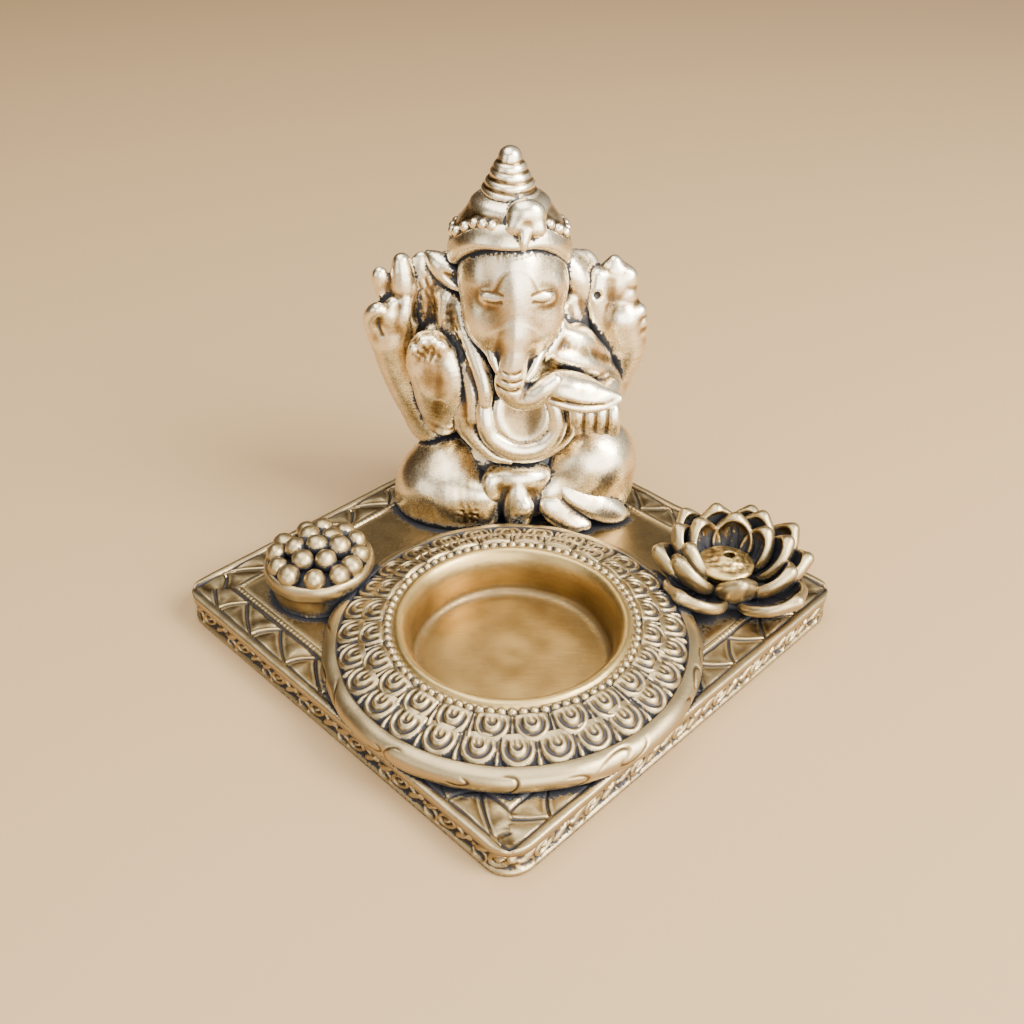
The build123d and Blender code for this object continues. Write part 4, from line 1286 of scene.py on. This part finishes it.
def make_lotus():
    """Cupped petals in three rows, a low mound under them, and a domed pod with the incense hole."""
    pieces = []
    for name, petals, root_radius, root_height, seed in PETAL_ROWS:
        row = lotus_clay(20, 7, 14, 0.28)
        for petal in petals:
            row.d = melt(row.d, lotus_petal(*petal, root_radius, root_height).d, 0.3)
        pieces.append(finish_member(row.floor(SEAT), name, seed, 0.05))

    foot = lotus_clay(10, 7, 6, 0.3)
    foot.egg((LOTUS_CENTRE[0], LOTUS_CENTRE[1], 7.6), (9, 9, 3.2))
    pieces.append(finish_member(foot.floor(SEAT), "lotus_foot", 84, 0.1))

    pod = lotus_clay(8, 7, 7, 0.25)
    x, y, _ = LOTUS_CENTRE
    pod.limb([(x, y, 8, 4.4), (x, y, 11, 4.8)], steps=1)
    pod.egg((x - 0.7, y - 0.3, 13.2), (6.4, 6.2, 1.6), k=1)
    pod.coarsen((x, y, 13.5), (6.8, 6.8, 3), 0.12, 1.2, 90)
    pod.limb([(x, y, 9, 1.25), (x, y, 20, 1.25)], steps=1, k=0.25, cut=True)
    pieces.append(finish_member(pod, "lotus_pod", 85, 0.07))
    return pieces


# ---- Finish ----
# The blue-black wash left in the hollows. The same colour is also laid as painted shade where other parts
# and the floor close in.
WASH_AND_SHADE = (0.011, 0.011, 0.015, 1.0)


def gilding(name, pale, warm, deep, roughness, brushed=(1.0, 1.0, 1.0), darkness=1.0):
    """Antique gold paint: pale on the high points, warm below, dark wash in the hollows, and the same dark
    as painted shade where other parts and the floor close in.
    """
    material = bpy.data.materials.new(name)
    material.use_nodes = True
    tree = material.node_tree
    shader = tree.nodes["Principled BSDF"]
    cavity = wire(tree, "ShaderNodeAttribute", attribute_name="cavity").outputs["Fac"]
    shelter = wire(tree, "ShaderNodeAttribute", attribute_name="shelter").outputs["Fac"]
    cloud = noise(tree, 120.0, 3.0)
    grain = noise(tree, 1500.0, 5.0, brushed)
    specks = noise(tree, 2600.0, 2.0)

    rubbed = ramp(tree, add_share(tree, cavity, cloud, 0.9), 0.95, 0.05)
    tone = blend(tree, rubbed, (*deep, 1.0), (*warm, 1.0))
    raised = arithmetic(tree, "SUBTRACT", arithmetic(tree, "MULTIPLY", grain, 0.5), cavity)
    tone = blend(tree, ramp(tree, raised, 0.15, 0.75), tone, (*pale, 1.0))

    patches = add_share(tree, arithmetic(tree, "MULTIPLY", grain, 0.9), cloud, 0.45)
    # Where other parts and the floor close in (shelter), the wash colour is laid both as the real wash and
    # as painted shade.
    wash_and_painted_shade = ramp(tree, arithmetic(tree, "ADD", shelter, patches), 0.97, 1.12)
    crease = ramp(tree, add_share(tree, cavity, grain, 1.4), 1.35, 2.1)
    dots = ramp(tree, add_share(tree, specks, shelter, 0.35), 0.80, 0.86)
    dark = arithmetic(tree, "MAXIMUM", arithmetic(tree, "MAXIMUM", wash_and_painted_shade, crease), dots)
    dark = arithmetic(tree, "MULTIPLY", dark, darkness)

    colour = blend(tree, dark, tone, WASH_AND_SHADE)
    tree.links.new(colour, shader.inputs["Base Color"])
    metal = arithmetic(tree, "SUBTRACT", 1.0, arithmetic(tree, "MULTIPLY", dark, 0.9))
    tree.links.new(metal, shader.inputs["Metallic"])
    rough = add_share(tree, add_share(tree, roughness, grain, 0.16), dark, 0.25)
    tree.links.new(rough, shader.inputs["Roughness"])
    relief = wire(tree, "ShaderNodeBump", {"Height": grain, "Strength": 0.22, "Distance": 0.0002})
    tree.links.new(relief.outputs["Normal"], shader.inputs["Normal"])
    return material


def mesh_arrays(piece):
    """A piece's points in millimetres, normals and edges."""
    mesh = piece.data
    points = read_rows(mesh.vertices, "co", 3) / MM
    normals = read_rows(mesh.vertices, "normal", 3)
    return points, normals, read_rows(mesh.edges, "vertices", 2, int)


def write_attribute(piece, name, values):
    """Stores one number for each point of a piece."""
    slot = piece.data.attributes.new(name, "FLOAT", "POINT")
    slot.data.foreach_set("value", values.astype(np.float32))


# Hollows are measured over this reach, and this depth counts as 1, in millimetres.
CAVITY_REACH, CAVITY_DEPTH = 0.55, 0.10
# The grid's step and the room round the object, in millimetres, when shelter is worked out.
SHELTER_STEP, SHELTER_ROOM = 0.6, 6.0
# The shares of solid close by that count as open and as fully sheltered.
OPEN_SHARE, CLOSED_SHARE = 0.30, 0.80


def mark_cavities(piece):
    """Where the surface is hollow (positive) or raised (negative), over a short reach."""
    points, normals, edges = mesh_arrays(piece)
    degree = np.bincount(edges.ravel(), minlength=len(points))[:, None]

    def neighbours(values):
        total = np.zeros_like(values)
        for axis in range(values.shape[1]):
            total[:, axis] = np.bincount(edges[:, 0], values[edges[:, 1], axis], len(points))
            total[:, axis] += np.bincount(edges[:, 1], values[edges[:, 0], axis], len(points))
        return total / np.maximum(degree, 1)

    smooth = points.copy()
    spacing = np.median(np.linalg.norm(points[edges[:, 0]] - points[edges[:, 1]], axis=1))
    rounds = int(np.clip((CAVITY_REACH / spacing) ** 2 * 4, 4, 40))
    for _ in range(rounds):
        smooth = 0.5 * smooth + 0.5 * neighbours(smooth)
    hollow = ((smooth - points) * normals).sum(axis=1)[:, None]
    hollow = 0.5 * hollow + 0.5 * neighbours(hollow)
    write_attribute(piece, "cavity", np.clip(hollow[:, 0] / CAVITY_DEPTH, -2.0, 2.0))


def mark_shelter(pieces):
    """How closed in each point is: the share of solid within a few millimetres of it."""
    step = SHELTER_STEP
    low = np.array(cad_box[0]) / MM - SHELTER_ROOM
    count = np.ceil((np.array(cad_box[1]) / MM + SHELTER_ROOM - low) / step).astype(int)
    solid = np.zeros(count, np.float32)
    for piece in pieces:
        points, _, _ = mesh_arrays(piece)
        grid = vdb.FloatGrid.createLevelSetFromPolygons(
            ((points - low) / step).astype(np.float32),
            triangles=triangles_of(piece.data).astype(np.uint32),
            halfWidth=2.0,
        )
        first = np.clip(np.floor((points.min(axis=0) - low) / step).astype(int) - 3, 0, count)
        last = np.clip(np.ceil((points.max(axis=0) - low) / step).astype(int) + 4, 0, count)
        block = np.zeros(last - first, np.float32)
        grid.copyToArray(block, ijk=tuple(int(i) for i in first))
        cut = tuple(slice(a, b) for a, b in zip(first, last))
        solid[cut] = np.maximum(solid[cut], np.clip(0.5 - block, 0, 1))
    ground = int(max(0, np.floor(-low[2] / step)))
    # The floor counts as solid, so the painted shade also falls on surfaces near it.
    solid[:, :, :ground] = 1.0
    soft = solid
    for _ in range(3):
        for axis in range(3):
            soft = box_blur(soft, 2, axis)
    for piece in pieces:
        points, normals, _ = mesh_arrays(piece)
        value = sample(soft, (points + normals * 0.5 - low) / step)
        share = (value - OPEN_SHARE) / (CLOSED_SHARE - OPEN_SHARE)
        write_attribute(piece, "shelter", np.clip(share, 0.0, 1.0))


def box_blur(block, reach, axis):
    """The running mean of a block along one axis."""
    pad = [(0, 0)] * 3
    pad[axis] = (reach + 1, reach)
    total = np.cumsum(np.pad(block, pad, mode="edge"), axis=axis, dtype=np.float64)
    width = 2 * reach + 1
    ahead = np.take(total, np.arange(width, total.shape[axis]), axis=axis)
    behind = np.take(total, np.arange(0, total.shape[axis] - width), axis=axis)
    return ((ahead - behind) / width).astype(np.float32)


# ---- Assembly ----
make_camera()
make_studio()
*lotus_leaves, lotus_pod = make_lotus()
darker_gold_pieces = make_base() + make_rings() + [make_holder()] + make_bowl() + lotus_leaves
cup_pieces = [make_cup(), lotus_pod]
figure_pieces = [make_torso()] + make_legs() + make_scarves() + make_head() + make_ears() + make_crown()
figure_pieces += make_upper_right_arm() + make_upper_left_arm()
figure_pieces += make_lower_right_arm() + make_lower_left_arm()

for piece in PIECES:
    mark_cavities(piece)
mark_shelter(PIECES)

# Paints as (pale, warm, deep, roughness); the cup's has a brushed grain and a thinner wash too. The three
# are copies of one antique gold paint. The figure's copy is brightened as painted light and painted
# highlight, with its pale tone near white. The darker copies on the base, holder, bowl, lotus, cup and pod
# are painted shade.
DARKENED_GOLD_PAINT = ((0.43, 0.33, 0.175), (0.295, 0.205, 0.092), (0.12, 0.08, 0.035), 0.30)
CUP_DARKENED_PAINT = ((0.50, 0.357, 0.136), (0.42, 0.285, 0.11), (0.22, 0.14, 0.05), 0.30, (0.2, 1.0, 1.0), 0.3)
BRIGHTENED_GOLD_PAINT = ((0.98, 0.85, 0.60), (0.58, 0.42, 0.21), (0.18, 0.115, 0.05), 0.19)
for slot, group, paint in (
    ("antique_gold", darker_gold_pieces, DARKENED_GOLD_PAINT),
    ("cup_gold", cup_pieces, CUP_DARKENED_PAINT),
    ("figure_gold", figure_pieces, BRIGHTENED_GOLD_PAINT),
):
    material = gilding(slot, *paint)
    for piece in group:
        piece.data.materials.append(material)
        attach(piece, "root")
